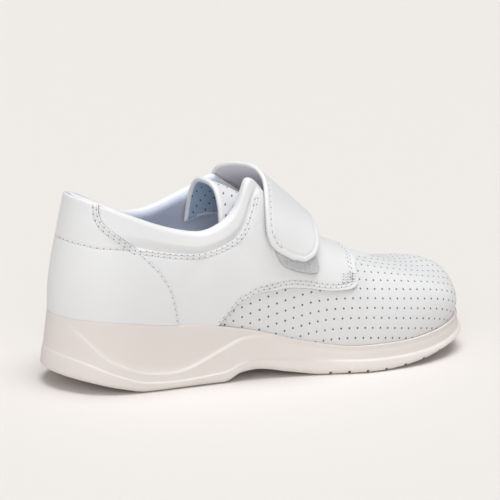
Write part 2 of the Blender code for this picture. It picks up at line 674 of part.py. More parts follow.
def build_insole(finish, collection):
    """A flat sock on the sole's seat, clear of the lining all round."""
    clear = 2 * FIT_GAP + WALL
    foot = outline(RING) - outward(RING) * (FEATHER_INSET + clear)
    low = np.column_stack([foot, seat(foot[:, 1]) + FIT_GAP])
    high = low + np.array([0, 0, INSOLE_THICKNESS])
    count = len(RING)

    def under(y):
        return seat(y) + FIT_GAP

    def over(y):
        return under(y) + INSOLE_THICKNESS

    top_points, top_faces = cap_grid(high, over, INSOLE_STEPS)
    low_points, low_faces = cap_grid(low, under, INSOLE_STEPS)
    points = np.concatenate([high, low, top_points, low_points])
    faces = [f[::-1] for f in loft_faces(2, count)]
    top_first = 2 * count
    low_first = top_first + len(top_points)
    for f in top_faces:
        faces.append(tuple(i if i < count else i - count + top_first for i in f))
    for f in low_faces:
        ids = tuple(i + count if i < count else i - count + low_first for i in f)
        faces.append(ids[::-1])
    return add_object("insole", points, faces, finish, collection)


def quarter_places(columns, rows):
    """Section numbers and heights over the quarter's outer half: a patch between its four edges."""
    w = np.linspace(0, len(QUARTER) - 1, columns)
    r = np.linspace(0, 1, rows)[:, None]
    step = np.arange(len(QUARTER))
    low_section, low_height, high_section, high_height = (
        eased(w, step, column(QUARTER, name)) for name in QuarterRow._fields
    )
    low = np.stack([low_section, low_height], axis=-1)
    high = np.stack([high_section, high_height], axis=-1)
    q = (w / (len(QUARTER) - 1))[None, :, None]
    height = low[0, 1] + (high[0, 1] - low[0, 1]) * r
    clear = QUARTER[0].low_section - COUNTER[0].section
    seam = eased(height, column(COUNTER, "height"), column(COUNTER, "section")) + clear
    rear = np.concatenate([seam, height], axis=1)[:, None]
    straight = low[0] + (high[0] - low[0]) * r
    return (1 - r[..., None]) * low + r[..., None] * high + (1 - q) ** 3 * (rear - straight[:, None])


def build_quarter(finish, collection):
    """One saddle over both sides that closes round the front of the throat."""
    half = quarter_places(34, 6)
    section, height = half[..., 0], half[..., 1]
    section = np.concatenate([section, len(SECTIONS) - section[:, -2::-1]], axis=1)
    height = np.concatenate([height, height[:, -2::-1]], axis=1)
    place = around(section)
    top = outer_face(place, height, PANEL_GAP + PANEL_THICKNESS)
    under = outer_face(place, height, PANEL_GAP)
    return add_object("quarter", *slab(top, under), finish, collection)


def build_counter(finish, collection):
    """The heel panel, between its two curved seams."""
    height = np.linspace(COUNTER[0].height, COUNTER[-1].height, 15)
    reach = eased(height, column(COUNTER, "height"), column(COUNTER, "section"))
    across = np.linspace(-1, 1, 25)
    place = around(-across[::-1][None, :] * reach[:, None])
    up = np.broadcast_to(height[:, None], place.shape)
    top = outer_face(place, up, PANEL_GAP + PANEL_THICKNESS)
    under = outer_face(place, up, PANEL_GAP)
    return add_object("heel_counter", *slab(top, under), finish, collection)


def face_normals(grid):
    """Unit normals of a grid of points, from the next ones along and up it."""
    along = np.gradient(grid, axis=1)
    up = np.gradient(grid, axis=0)
    normal = np.cross(along, up)
    return normal / np.linalg.norm(normal, axis=-1, keepdims=True)


def build_tongue(finish, collection):
    """An arched sheet under the throat, from below the vamp to its free top edge."""
    steps = np.linspace(0, len(TONGUE) - 1, 12)
    rows = np.arange(len(TONGUE))
    along, up, side, drop = (
        eased(steps, rows, column(TONGUE, name))[:, None] for name in ("along", "up", "side", "drop")
    )
    turn = np.linspace(-1, 1, 13)[None, :] * TONGUE_TURN
    x = side * BALL_WIDTH / 2 * np.sin(turn) / math.sin(TONGUE_TURN)
    fall = (1 - np.cos(turn)) / (1 - math.cos(TONGUE_TURN))
    z = HEEL_THICKNESS + INSTEP_RISE * (up - drop * fall)
    y = np.broadcast_to((along - 0.5) * LENGTH, x.shape)
    top = np.stack([x, y, z], axis=-1)[:, ::-1]
    under = top - face_normals(top) * TONGUE_THICKNESS
    return add_object("tongue", *slab(top, under), finish, collection)


PATCH_BASE = PANEL_GAP + PANEL_THICKNESS + FIT_GAP
STRAP_BASE = PATCH_BASE + PATCH_THICKNESS + 1.5 * FIT_GAP


def build_patch(finish, collection):
    """The hook and loop patch between the quarter and the strap's end."""
    steps = np.linspace(0, len(PATCH) - 1, 12)
    rows = np.arange(len(PATCH))
    height, rear, front = (
        eased(steps, rows, column(PATCH, name))[:, None] for name in ("height", "rear", "front")
    )
    section = rear + (front - rear) * np.linspace(0, 1, 9)
    height = np.broadcast_to(height, section.shape)
    place = around(section)
    top = outer_face(place, height, PATCH_BASE + PATCH_THICKNESS)
    under = outer_face(place, height, PATCH_BASE)
    return add_object("closure_patch", *slab(top, under), finish, collection)


def strap_grid(columns, rows):
    """The strap's outer face, from its free end over the instep to its stitched root."""
    across = np.linspace(0, 1, columns)
    lines = []
    for held, base in ((STRAP_END, STRAP_BASE), (STRAP_ROOT, PATCH_BASE + 2 * FIT_GAP)):
        for row in held:
            section = row.rear_section + (row.front_section - row.rear_section) * across
            height = row.rear_height + (row.front_height - row.rear_height) * across
            lines.append(outer_face(around(section), height, base + STRAP_THICKNESS)[0])
    free = []
    for row in STRAP_ARCH:
        rear = np.array([row.rear_side, row.rear_along, row.rear_up])
        front = np.array([row.front_side, row.front_along, row.front_up])
        share = rear + (front - rear) * across[:, None]
        x = share[:, 0] * BALL_WIDTH / 2
        y = (share[:, 1] - 0.5) * LENGTH
        z = HEEL_THICKNESS + INSTEP_RISE * share[:, 2]
        free.append(np.column_stack([x, y, z]))
    lines = np.array(lines[: len(STRAP_END)] + free + lines[len(STRAP_END) :])
    middle = lines[:, columns // 2]
    run = np.append(0, np.cumsum(np.linalg.norm(np.diff(middle, axis=0), axis=1)))
    even = np.linspace(0, run[-1], rows)
    return np.stack(
        [
            np.stack([eased(even, run, lines[:, c, k]) for k in range(3)], axis=-1)
            for c in range(columns)
        ],
        axis=1,
    )


def build_strap(finish, collection):
    """The band from its stitched root on the inner side, over the instep, to its free end."""
    top = strap_grid(6, 36)
    under = top - face_normals(top) * STRAP_THICKNESS
    return add_object("strap", *slab(top, under), finish, collection)


def main():
    for old in list(bpy.data.objects):
        bpy.data.objects.remove(old, do_unlink=True)
    shoe = bpy.data.collections.new("work_shoe")
    cutters = bpy.data.collections.new("cutters")
    for made in (shoe, cutters):
        bpy.context.scene.collection.children.link(made)
    leather = material("white_leather", (0.86, 0.87, 0.88), 0.45)
    foam = material("cream_polyurethane", (0.80, 0.76, 0.73), 0.55)
    lining = material("grey_lining", (0.62, 0.66, 0.72), 0.8)
    hooks = material("grey_hook_and_loop", (0.55, 0.56, 0.58), 0.9)
    build_sole(foam, shoe, cutters)
    build_upper(material("perforated_leather", (0.86, 0.87, 0.88), 0.5), shoe)
    build_insole(lining, shoe)
    build_quarter(leather, shoe)
    build_counter(material("counter_leather", (0.86, 0.87, 0.88), 0.45), shoe)
    build_tongue(material("tongue_leather", (0.85, 0.86, 0.87), 0.5), shoe)
    build_patch(hooks, shoe)
    build_strap(material("strap_leather", (0.86, 0.87, 0.88), 0.45), shoe)


if __name__ == "__main__":
    main()
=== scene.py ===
"""Finish of the white work shoe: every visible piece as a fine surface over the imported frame.

Metres, +Z up, toe towards +Y, outer side of the foot towards +X. The leather pieces follow the
last's own function, which the tables below draw; seams, stitches and holes follow the pieces.
"""

import math
from collections import namedtuple

import bpy
import numpy as np
from mathutils import Matrix, Vector


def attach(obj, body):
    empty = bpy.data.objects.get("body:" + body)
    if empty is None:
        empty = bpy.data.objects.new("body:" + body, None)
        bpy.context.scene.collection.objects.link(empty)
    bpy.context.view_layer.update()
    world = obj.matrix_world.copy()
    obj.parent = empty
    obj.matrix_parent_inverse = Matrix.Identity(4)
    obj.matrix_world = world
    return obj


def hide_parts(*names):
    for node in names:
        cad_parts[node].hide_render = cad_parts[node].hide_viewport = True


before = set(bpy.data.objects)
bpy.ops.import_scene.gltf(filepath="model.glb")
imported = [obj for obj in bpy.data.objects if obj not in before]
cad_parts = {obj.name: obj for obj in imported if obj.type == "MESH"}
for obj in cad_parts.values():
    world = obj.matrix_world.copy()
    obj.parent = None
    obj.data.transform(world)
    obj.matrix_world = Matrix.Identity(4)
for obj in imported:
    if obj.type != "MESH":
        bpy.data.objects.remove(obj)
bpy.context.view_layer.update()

# Camera, from the photograph: turn round the shoe, height above the floor, roll and distance.
IMAGE_SIDE = 500
CAMERA_TURN = math.radians(57.45)
CAMERA_RISE = math.radians(13.54)
CAMERA_ROLL = math.radians(3.30)
CAMERA_DISTANCE = 1.195
FOCAL_PIXELS = 2130.5
SENSOR_WIDTH = 36.0
LOOK_AT = np.array([-0.0053, -0.0055, 0.0628])

# Sole
LENGTH = 0.268
BALL_WIDTH = 0.0925
HEEL_WIDTH = 0.0655
HEEL_THICKNESS = 0.0405
BALL_THICKNESS = 0.0152
TOE_RISE = 0.0070
HEEL_BEVEL = 0.0090
TOE_SPRING = 0.0120
ARCH_RISE = 0.0056
SIDE_TAPER = 0.0022
PANEL_STEP = 0.0014
RIB_STEP = 0.0010
SIDE_LINE_BLUR = 0.0080
LEDGE_HALF = 0.0009
SOLE_EDGE_RADIUS = 0.0026
LIP_WIDTH = 0.0016
LIP_DEPTH = 0.0013
TREAD_DEPTH = 0.0020
TREAD_WIDTH = 0.0022
GROOVE_REACH = 0.62
FOREFOOT_BOW = 0.0137
HEEL_BOW = 0.0023
HEEL_TREAD_WIDTH = 0.0460

# Upper
INSTEP_RISE = 0.0800
TOE_BOX_RISE = 0.0520
WALL = 0.0022
COLLAR_PAD = 0.0040
COLLAR_SWELL = 0.0018
PAD_DEPTH = 0.0200

# Pieces on and in the upper
FIT_GAP = 0.0003
PANEL_GAP = 0.0007
PANEL_THICKNESS = 0.0012
TONGUE_THICKNESS = 0.0030
TONGUE_TURN = math.radians(80)
TONGUE_SQUARENESS = 1.45
INSOLE_THICKNESS = 0.0040
STRAP_THICKNESS = 0.0024
PATCH_THICKNESS = 0.0022

# Where the pieces stand off one another
FEATHER_INSET = SIDE_TAPER + LIP_WIDTH + 2.5 * FIT_GAP
PATCH_BASE = PANEL_GAP + PANEL_THICKNESS + FIT_GAP
STRAP_BASE = PATCH_BASE + PATCH_THICKNESS + 1.5 * FIT_GAP
ROOT_BASE = PATCH_BASE + 2 * FIT_GAP

# Fineness of the finished surfaces
RING_STEPS = 220
SHELL_STEPS = 46
COLLAR_STEPS = 26
LIP_ROWS = 36
LINING_ROWS = 40
SEAT_STEPS = 8
UNDERSIDE_STEPS = 30
PLACES = 4000
SHARP_ANGLE = math.radians(38)
WELD_REACH = 0.00002

# The collar's roll takes LIP_SHARE of height past the upper's edge. Its seam at the heel lies at
# height RIM_SEAM and fades out by section number RIM_SEAM_END.
LIP_SHARE = 0.15
LIP_CLOSE = 0.0005
RIM_SEAM = 1.031
RIM_SEAM_WIDTH = 0.0045
RIM_SEAM_DEPTH = 0.0006
RIM_SEAM_END = 2.6
RIM_SEAM_SHOWN = 0.75

# From where the shell's rows are smooth leather, and the roll's rows are lining cloth
SMOOTH_FROM = 0.84
CLOTH_FROM = 0.6

# Sewn panels: how far their faces and backs lie off the upper, their edges, and how far, in
# section numbers, the saddle runs under the heel counter.
LEATHER_LIFT = 0.0014
COUNTER_LIFT = 0.0022
FACE_CLEAR = 0.0001
BACK_SUNK = 0.0003
LEATHER_EDGE = 0.0006
# Width of the dark band at the panels' cut edges: the raw edge's grey and painted shade under it.
CUT_AND_SHADE_WIDTH = 0.0003
TURNED_EDGE = 0.0030
UNDERLAP = 0.12
RIM_SPACING = 0.0005

# Rounded edges and coloured borders of the free pieces
LEAST_HALF = 0.00004
TONGUE_BORDER = 0.0022
STRAP_EDGE = 0.0010
STRAP_BORDER = 0.0012
STRAP_SMOOTHING = 260
PATCH_EDGE = 0.0008
SOCK_EDGE = 0.0008
SOCK_BRINK = 0.992

# Seams and stitches
SEAM_GROOVE = 0.0003
SEAM_GROOVE_WIDTH = 0.0008
SEAM_SPACING = 0.0006
THREAD_BED = 0.00022
ROW_GAP = 0.0018
COUNTER_INSET = 0.0012
STRAP_SEAM_INSET = 0.0030
STRAP_SEAM_DEPTH = 0.0003
STRAP_SEAM_WIDTH = 0.00055
STRAP_SEAM_FROM, STRAP_SEAM_TO = 0.008, 0.042
STRAP_COLUMNS = 61
STITCH_PITCH = 0.0035
STITCH_LENGTH = 0.0026
STITCH_RADIUS = 0.00026
NEEDLE_RADIUS = 0.00034
NEEDLE_PROUD = 0.00006
NEEDLE_SUNK = 0.0002
# The rings of one sewn thread, bowed up between its ends, and of one needle hole's dark disc,
# which is painted shade in the pit: how far along each one lies, its radius and its shift.
THREAD_SHARES = [
    (-0.50, 0.25, -1.00),
    (-0.40, 0.80, -0.10),
    (-0.15, 1.00, 0.35),
    (0.15, 1.00, 0.35),
    (0.40, 0.80, -0.10),
    (0.50, 0.25, -1.00),
]
THREAD_RINGS = np.multiply(THREAD_SHARES, (STITCH_LENGTH, STITCH_RADIUS, STITCH_RADIUS))
NEEDLE_RINGS = np.array([(-NEEDLE_SUNK, NEEDLE_RADIUS, 0), (NEEDLE_PROUD, NEEDLE_RADIUS, 0)])

# The punched pattern's two steps on the flat leather, each one towards the outer side and
# forwards.
HOLE_STEP_A = (-0.0020, 0.0051)
HOLE_STEP_B = (0.0057, 0.0010)
HOLE_RADIUS = 0.00060
HOLE_SOFTNESS = 0.00012
DIMPLE_RADIUS = 0.0014
UV_UNIT = 0.1

# The grid that is laid flat for the punched pattern: its section numbers, its fineness, and the
# pairs of neighbours whose distances it keeps.
FLAT_FROM, FLAT_TO = 3, 26
FLAT_COLUMNS = 70
FLAT_ROWS = 11
FLAT_ROUNDS = 3000
NEIGHBOURS = [
    (np.s_[:, 1:], np.s_[:, :-1]),
    (np.s_[1:, :], np.s_[:-1, :]),
    (np.s_[1:, 1:], np.s_[:-1, :-1]),
    (np.s_[1:, :-1], np.s_[:-1, 1:]),
]

FLOOR_HALF = 12


def table(kind, *rows):
    """Rows of numbers as named tuples of one kind."""
    return [kind(*row) for row in rows]


# A row for each section round the shoe, from the back of the heel along the outer side to the
# toe and back along the inner side.
# side, along: the sole's outline, as shares of the local half width and of the length.
# belly, rise: the wall loop, out and up from the feather line, as shares of the toe box rise.
# reach, ahead, drop: the shoulder loop, out, forward and down from the opening's edge, as shares
# of half the ball width, the length and the instep rise.
# edge_side, edge_along, edge_up: the opening's edge, as shares of half the ball width, the length
# and the instep rise above the heel's thickness. pad: the share of the collar's padding. band: how
# far up the section the padded band starts.
Section = namedtuple(
    "Section",
    "name side along belly rise reach ahead drop edge_side edge_along edge_up pad band",
)
SECTIONS = table(
    Section,
    ("heel_back", 0, 0, 0.035, 0.45, 0, -0.012, 0.28, 0, 0.044, 0.765, 0.4, 0.66),
    ("heel_curve", 0.56, 0.028, 0.035, 0.45, 0.04, -0.01, 0.28, 0.21, 0.055, 0.755, 0.4, 0.66),
    ("heel_corner", 0.88, 0.085, 0.045, 0.45, 0.08, -0.003, 0.27, 0.4, 0.095, 0.7, 0.65, 0.7),
    ("heel_side", 0.99, 0.17, 0.055, 0.42, 0.11, 0, 0.25, 0.5, 0.165, 0.6, 1, 0.79),
    ("ankle", 1, 0.3, 0.055, 0.38, 0.12, 0.004, 0.22, 0.555, 0.262, 0.512, 1, 0.835),
    ("waist", 0.93, 0.42, 0.05, 0.38, 0.13, 0.01, 0.22, 0.575, 0.328, 0.54, 1, 0.868),
    ("facing_rear", 0.935, 0.48, 0.05, 0.38, 0.13, 0.02, 0.28, 0.545, 0.37, 0.645, 0.9, 0.883),
    ("facing_top", 0.95, 0.55, 0.05, 0.38, 0.15, 0.034, 0.34, 0.49, 0.402, 0.85, 0.7, 0.93),
    ("facing_upper", 0.97, 0.605, 0.05, 0.4, 0.2, 0.044, 0.32, 0.42, 0.436, 0.8, 0.35, 0.95),
    ("facing", 1, 0.66, 0.05, 0.42, 0.24, 0.052, 0.28, 0.36, 0.472, 0.695, 0.1, 0.94),
    ("facing_mid", 1.01, 0.725, 0.05, 0.44, 0.28, 0.06, 0.24, 0.305, 0.51, 0.59, 0, 0.9),
    ("facing_low", 0.98, 0.79, 0.05, 0.5, 0.29, 0.08, 0.24, 0.25, 0.548, 0.5, 0, 0.9),
    ("toe_side", 0.86, 0.87, 0.081, 0.571, 0.29, 0.124, 0.287, 0.19, 0.58, 0.435, 0, 0.9),
    ("toe_corner", 0.62, 0.945, 0.225, 0.529, 0.22, 0.181, 0.317, 0.11, 0.603, 0.395, 0, 0.9),
    ("toe_curve", 0.24, 0.992, 0.211, 0.608, 0.09, 0.25, 0.368, 0.02, 0.612, 0.38, 0, 0.9),
    ("toe_tip", -0.16, 1, 0.258, 0.877, -0.05, 0.248, 0.464, -0.1, 0.612, 0.38, 0, 0.9),
    ("toe_turn", -0.54, 0.965, 0.153, 0.927, -0.2, 0.191, 0.501, -0.2, 0.603, 0.395, 0, 0.9),
    ("toe_inner", -0.8, 0.9, 0.045, 0.613, -0.28, 0.127, 0.364, -0.28, 0.58, 0.435, 0, 0.9),
    ("ball_toe", -0.95, 0.81, 0.052, 0.475, -0.29, 0.085, 0.245, -0.335, 0.548, 0.5, 0, 0.9),
    ("ball", -0.97, 0.72, 0.05, 0.47, -0.28, 0.06, 0.24, -0.385, 0.51, 0.59, 0, 0.9),
    ("ball_rear", -0.92, 0.64, 0.05, 0.43, -0.24, 0.048, 0.28, -0.43, 0.468, 0.69, 0.1, 0.94),
    ("inner_upper", -0.87, 0.575, 0.05, 0.4, -0.2, 0.04, 0.3, -0.475, 0.44, 0.745, 0.3, 0.95),
    ("inner_top", -0.835, 0.515, 0.05, 0.38, -0.16, 0.03, 0.3, -0.515, 0.415, 0.77, 0.7, 0.93),
    ("inner_rear", -0.8, 0.455, 0.05, 0.37, -0.14, 0.02, 0.26, -0.545, 0.38, 0.71, 0.9, 0.883),
    ("arch", -0.8, 0.385, 0.05, 0.36, -0.13, 0.012, 0.24, -0.56, 0.325, 0.625, 1, 0.868),
    ("inner_ankle", -0.88, 0.28, 0.055, 0.36, -0.12, 0.004, 0.23, -0.55, 0.25, 0.545, 1, 0.835),
    ("inner_heel", -0.95, 0.17, 0.06, 0.4, -0.11, 0, 0.25, -0.49, 0.165, 0.585, 1, 0.79),
    ("inner_corner", -0.85, 0.085, 0.05, 0.45, -0.08, -0.003, 0.27, -0.4, 0.095, 0.695, 0.75, 0.7),
    ("inner_curve", -0.54, 0.028, 0.035, 0.45, -0.04, -0.01, 0.28, -0.21, 0.055, 0.755, 0.4, 0.66),
)

# The sole's side seen from the side. along: share of the length. heel, toe: the top edge's shares
# of the heel's extra thickness and of the toe rise.
TopLine = namedtuple("TopLine", "along heel toe")
TOP_LINE = table(
    TopLine,
    (0, 1, 0), (0.1, 0.95, 0), (0.2, 0.83, 0), (0.3, 0.71, 0), (0.42, 0.47, 0), (0.53, 0.17, 0),
    (0.64, 0, 0), (0.74, 0, 0), (0.85, 0, 0.24), (1, 0, 1),
)
# bevel, arch, spring: the bottom's shares of the heel bevel, the arch rise and the toe spring.
BottomLine = namedtuple("BottomLine", "along bevel arch spring")
BOTTOM_LINE = table(
    BottomLine,
    (0, 1, 0, 0), (0.05, 0.7, 0, 0), (0.11, 0.3, 0, 0), (0.17, 0, 0, 0), (0.345, 0, 0, 0),
    (0.385, 0, 0.8, 0), (0.42, 0, 1, 0), (0.5, 0, 0.45, 0), (0.575, 0, 0, 0), (0.7, 0, 0, 0),
    (0.8, 0, 0, 0.18), (0.89, 0, 0, 0.5), (1, 0, 0, 1),
)
# The two moulded lines on the sole's side, as shares of its local height, and how much of its
# step each one has there.
SideLine = namedtuple("SideLine", "along panel panel_step rib rib_step")
SIDE_LINES = table(
    SideLine,
    (0, 0.93, 0, 0.36, 0.3),
    (0.03, 0.86, 0.1, 0.34, 0.4),
    (0.045, 0.64, 0.7, 0.31, 0.6),
    (0.07, 0.45, 1, 0.26, 1),
    (0.105, 0.37, 1, 0.2, 1),
    (0.15, 0.3, 1, 0.16, 1),
    (0.2, 0.27, 1, 0.135, 1),
    (0.24, 0.27, 1, 0.13, 1),
    (0.28, 0.37, 1, 0.15, 1),
    (0.33, 0.57, 1, 0.19, 1),
    (0.37, 0.75, 1, 0.24, 0.8),
    (0.41, 0.87, 0.7, 0.27, 0),
    (0.46, 0.93, 0, 0.32, 0),
    (0.54, 0.93, 0, 0.46, 0.1),
    (0.62, 0.93, 0, 0.5, 1),
    (0.78, 0.93, 0, 0.44, 1),
    (0.88, 0.93, 0, 0.34, 1),
    (1, 0.93, 0, 0.3, 1),
)
# The heel counter's edge, from the sole up to the collar: how far round it reaches at each height,
# as a section number and a share up the section. The inner side mirrors the outer one.
CounterRow = namedtuple("CounterRow", "height section")
COUNTER = table(
    CounterRow,
    (0.01, 3.53), (0.22, 3.45), (0.39, 3.38), (0.49, 3.29), (0.6, 3.16), (0.69, 2.96),
    (0.76, 2.68), (0.8, 2.4), (0.85, 2.05), (0.9, 1.75), (0.965, 1.62), (1.026, 1.6),
)
# The quarter's lower and upper edges from the counter seam to the middle of the throat, as section
# numbers and shares up the section. The inner side mirrors the outer one.
QuarterRow = namedtuple("QuarterRow", "low_section low_height high_section high_height")
QUARTER = table(
    QuarterRow,
    (3.6, 0.01, 2.8, 0.765),
    (4, 0.01, 3.05, 0.79),
    (4.37, 0.016, 3.45, 0.808),
    (4.5, 0.106, 3.85, 0.825),
    (4.65, 0.206, 4.35, 0.845),
    (4.85, 0.3, 4.8, 0.86),
    (5.2, 0.369, 5.3, 0.872),
    (5.7, 0.408, 5.9, 0.878),
    (6.35, 0.413, 6.35, 0.885),
    (7.25, 0.397, 6.75, 0.905),
    (8.4, 0.4, 7.1, 0.94),
    (9.3, 0.412, 7.5, 0.97),
    (9.75, 0.433, 8.2, 0.972),
    (10.1, 0.475, 9, 0.972),
    (10.5, 0.545, 9.8, 0.972),
    (11.15, 0.638, 10.8, 0.974),
    (11.8, 0.725, 11.7, 0.977),
    (12.5, 0.8, 12.6, 0.981),
    (13.3, 0.868, 13.4, 0.984),
    (14, 0.892, 14, 0.985),
    (14.5, 0.895, 14.5, 0.985),
)
# The tongue from under the vamp to its free top. along: share of the length. up, drop: the height
# of its ridge above the heel's thickness and the fall to its edges, as shares of the instep rise.
# side: half its width as a share of half the ball width.
TongueRow = namedtuple("TongueRow", "along up side drop")
TONGUE = table(
    TongueRow,
    (0.645, 0.293, 0.24, 0.05), (0.6, 0.353, 0.33, 0.09), (0.55, 0.474, 0.38, 0.12),
    (0.5, 0.59, 0.4, 0.15), (0.435, 0.708, 0.385, 0.19), (0.395, 0.775, 0.392, 0.25),
    (0.347, 0.84, 0.44, 0.36),
)
# The closing patch under the strap's end. height: share up the sections. rear, front: section
# numbers.
PatchRow = namedtuple("PatchRow", "height rear front")
PATCH = table(
    PatchRow,
    (0.486, 7.4, 7.75), (0.494, 7.1, 8.05), (0.515, 6.86, 8.32), (0.55, 6.7, 8.52),
    (0.61, 6.7, 8.72), (0.7, 6.8, 8.85), (0.728, 6.95, 8.8), (0.74, 7.15, 8.6),
)
# The strap. The held rows lie on the shoe's outer and inner side, at section numbers and shares up
# them. The free rows arch over the instep. side: share of half the ball width. along: share of
# the length. up: share of the instep rise above the heel's thickness.
HeldRow = namedtuple("HeldRow", "rear_section rear_height front_section front_height")
STRAP_END = table(
    HeldRow,
    (7.15, 0.556, 7.65, 0.55),
    (6.85, 0.585, 8.05, 0.56),
    (6.62, 0.625, 8.4, 0.585),
    (6.5, 0.665, 8.75, 0.618),
    (6.46, 0.7, 9, 0.652),
    (6.5, 0.735, 9.3, 0.69),
    (6.68, 0.775, 9.6, 0.732),
)
STRAP_ROOT = table(
    HeldRow,
    (21.95, 0.83, 19.55, 0.7),
    (22.1, 0.74, 19.7, 0.62),
    (22.2, 0.64, 19.8, 0.54),
    (22.25, 0.55, 19.9, 0.46),
    (22.15, 0.51, 20.1, 0.43),
)
FreeRow = namedtuple("FreeRow", "rear_side rear_along rear_up front_side front_along front_up")
STRAP_ARCH = table(
    FreeRow,
    (0.675, 0.429, 0.705, 0.485, 0.575, 0.514),
    (0.59, 0.434, 0.8, 0.335, 0.588, 0.525),
    (0.375, 0.451, 0.88, 0.15, 0.593, 0.558),
    (0.195, 0.451, 0.932, 0, 0.593, 0.584),
    (0, 0.441, 0.938, -0.195, 0.588, 0.59),
    (-0.18, 0.43, 0.922, -0.39, 0.58, 0.565),
    (-0.4, 0.42, 0.885, -0.585, 0.57, 0.5),
    (-0.65, 0.422, 0.765, -0.715, 0.55, 0.425),
)
FOREFOOT_GROOVES = [0.611, 0.655, 0.699, 0.746, 0.796, 0.846, 0.892]
HEEL_GROOVES = [0.185, 0.225, 0.265, 0.305]


def eased(x, xs, ys):
    """A smooth curve through the points (xs, ys) that never overshoots them.

    Between two points it is a cubic, whose slope at a point is the harmonic mean of the slopes on
    both sides. ys may hold a whole grid a point.
    """
    xs, ys = np.asarray(xs, float), np.asarray(ys, float)
    wide = (-1,) + (1,) * (ys.ndim - 1)
    gaps = np.diff(xs)
    step = gaps.reshape(wide)
    slope = np.diff(ys, axis=0) / step
    tangent = np.zeros_like(ys)
    flat = slope[:-1] * slope[1:] <= 0
    weight_a = 2 * step[1:] + step[:-1]
    weight_b = step[1:] + 2 * step[:-1]
    safe_a = np.where(flat, 1, slope[:-1])
    safe_b = np.where(flat, 1, slope[1:])
    mean = (weight_a + weight_b) / (weight_a / safe_a + weight_b / safe_b)
    tangent[1:-1] = np.where(flat, 0, mean)
    tangent[[0, -1]] = slope[[0, -1]]
    x = np.clip(x, xs[0], xs[-1])
    i = np.clip(np.searchsorted(xs, x, side="right") - 1, 0, len(gaps) - 1)
    q = ((x - xs[i]) / gaps[i]).reshape(np.shape(x) + (1,) * (ys.ndim - 1))
    width = gaps[i].reshape(q.shape)
    rise = (1 + 2 * q) * (1 - q) ** 2 * ys[i] + q * q * (3 - 2 * q) * ys[i + 1]
    return rise + width * q * (1 - q) * ((1 - q) * tangent[i] - q * tangent[i + 1])


def column(rows, name):
    return np.array([getattr(row, name) for row in rows], float)


def closed_spline(knots, total, values, x):
    """A smooth closed curve through one value a knot, with its own period."""
    n = len(knots)
    gaps = np.diff(np.append(knots, total))
    before = np.roll(gaps, 1)
    matrix = np.zeros((n, n))
    rows = np.arange(n)
    matrix[rows, rows] = 2 * (before + gaps)
    matrix[rows, (rows - 1) % n] += before
    matrix[rows, (rows + 1) % n] += gaps
    ahead = np.roll(values, -1, axis=0)
    behind = np.roll(values, 1, axis=0)
    right = 6 * ((ahead - values) / gaps[:, None] - (values - behind) / before[:, None])
    bend = np.linalg.solve(matrix, right)
    x = np.mod(x, total)
    i = np.searchsorted(knots, x, side="right") - 1
    gap = gaps[i][..., None]
    q = ((x - knots[i]) / gaps[i])[..., None]
    p = 1 - q
    j = (i + 1) % n
    curve = p * values[i] + q * values[j]
    return curve + ((p**3 - p) * bend[i] + (q**3 - q) * bend[j]) * gap**2 / 6


def half_width(along):
    """Half the sole's width where the outline's share is 1: the heel's, the ball's or between."""
    ball = eased(along, [0.30, 0.66], [0.0, 1.0])
    return (HEEL_WIDTH + (BALL_WIDTH - HEEL_WIDTH) * ball) / 2


ALONG = column(SECTIONS, "along")
OUTLINE = np.column_stack(
    [column(SECTIONS, "side") * half_width(ALONG), (ALONG - 0.5) * LENGTH]
)
OUTLINE_GAPS = np.linalg.norm(np.roll(OUTLINE, -1, axis=0) - OUTLINE, axis=1)
KNOTS = np.concatenate([[0.0], np.cumsum(OUTLINE_GAPS)[:-1]])
ROUND = OUTLINE_GAPS.sum()
TANGENT_STEP = ROUND * 1e-4


def around(number):
    """The place round the outline of a section number, such as 4.5 for half way past number 4."""
    laps, rest = np.divmod(number, len(SECTIONS))
    return np.interp(rest, np.arange(len(SECTIONS) + 1), np.append(KNOTS, ROUND)) + laps * ROUND


def outline(t):
    return closed_spline(KNOTS, ROUND, OUTLINE, t)


def outward(t):
    """The outline's outward direction in plan."""
    along = outline(t + TANGENT_STEP) - outline(t - TANGENT_STEP)
    along /= np.linalg.norm(along, axis=-1, keepdims=True)
    return np.stack([along[..., 1], -along[..., 0]], axis=-1)


def profile(y, rows, name):
    """A column of a table of the sole's side, eased along the shoe."""
    return eased(y / LENGTH + 0.5, column(rows, "along"), column(rows, name))


def sole_top(y):
    """Height of the sole's top edge."""
    heel, toe = profile(y, TOP_LINE, "heel"), profile(y, TOP_LINE, "toe")
    return BALL_THICKNESS + (HEEL_THICKNESS - BALL_THICKNESS) * heel + TOE_RISE * toe


def sole_bottom(y):
    """Height of the sole's underside: nought where the heel and the forefoot stand."""
    bevel, arch, spring = (profile(y, BOTTOM_LINE, name) for name in ("bevel", "arch", "spring"))
    return HEEL_BEVEL * bevel + ARCH_RISE * arch + TOE_SPRING * spring


def side_line(y, name):
    """A moulded line's value, averaged over a few millimetres so that it bends softly."""
    spread = np.linspace(-SIDE_LINE_BLUR, SIDE_LINE_BLUR, 9).reshape((-1,) + (1,) * np.ndim(y))
    return profile(y + spread, SIDE_LINES, name).mean(axis=0)


def seat(y):
    """Height of the sole's seat, inside its lip."""
    return sole_top(y) - LIP_DEPTH


# The sections' last ten columns in metres, each share times the size that it follows. The opening's
# edge lies along the shoe from its middle.
HALF_BALL = BALL_WIDTH / 2
LOOP_SIZES = [TOE_BOX_RISE, TOE_BOX_RISE, HALF_BALL, LENGTH, INSTEP_RISE]
LOOP_SIZES += [HALF_BALL, LENGTH, INSTEP_RISE, 1, 1]
LOOP_STARTS = [0.5 if name == "edge_along" else 0 for name in Section._fields[3:]]
LOOP_ROWS = (np.array([row[3:] for row in SECTIONS]) - LOOP_STARTS) * LOOP_SIZES


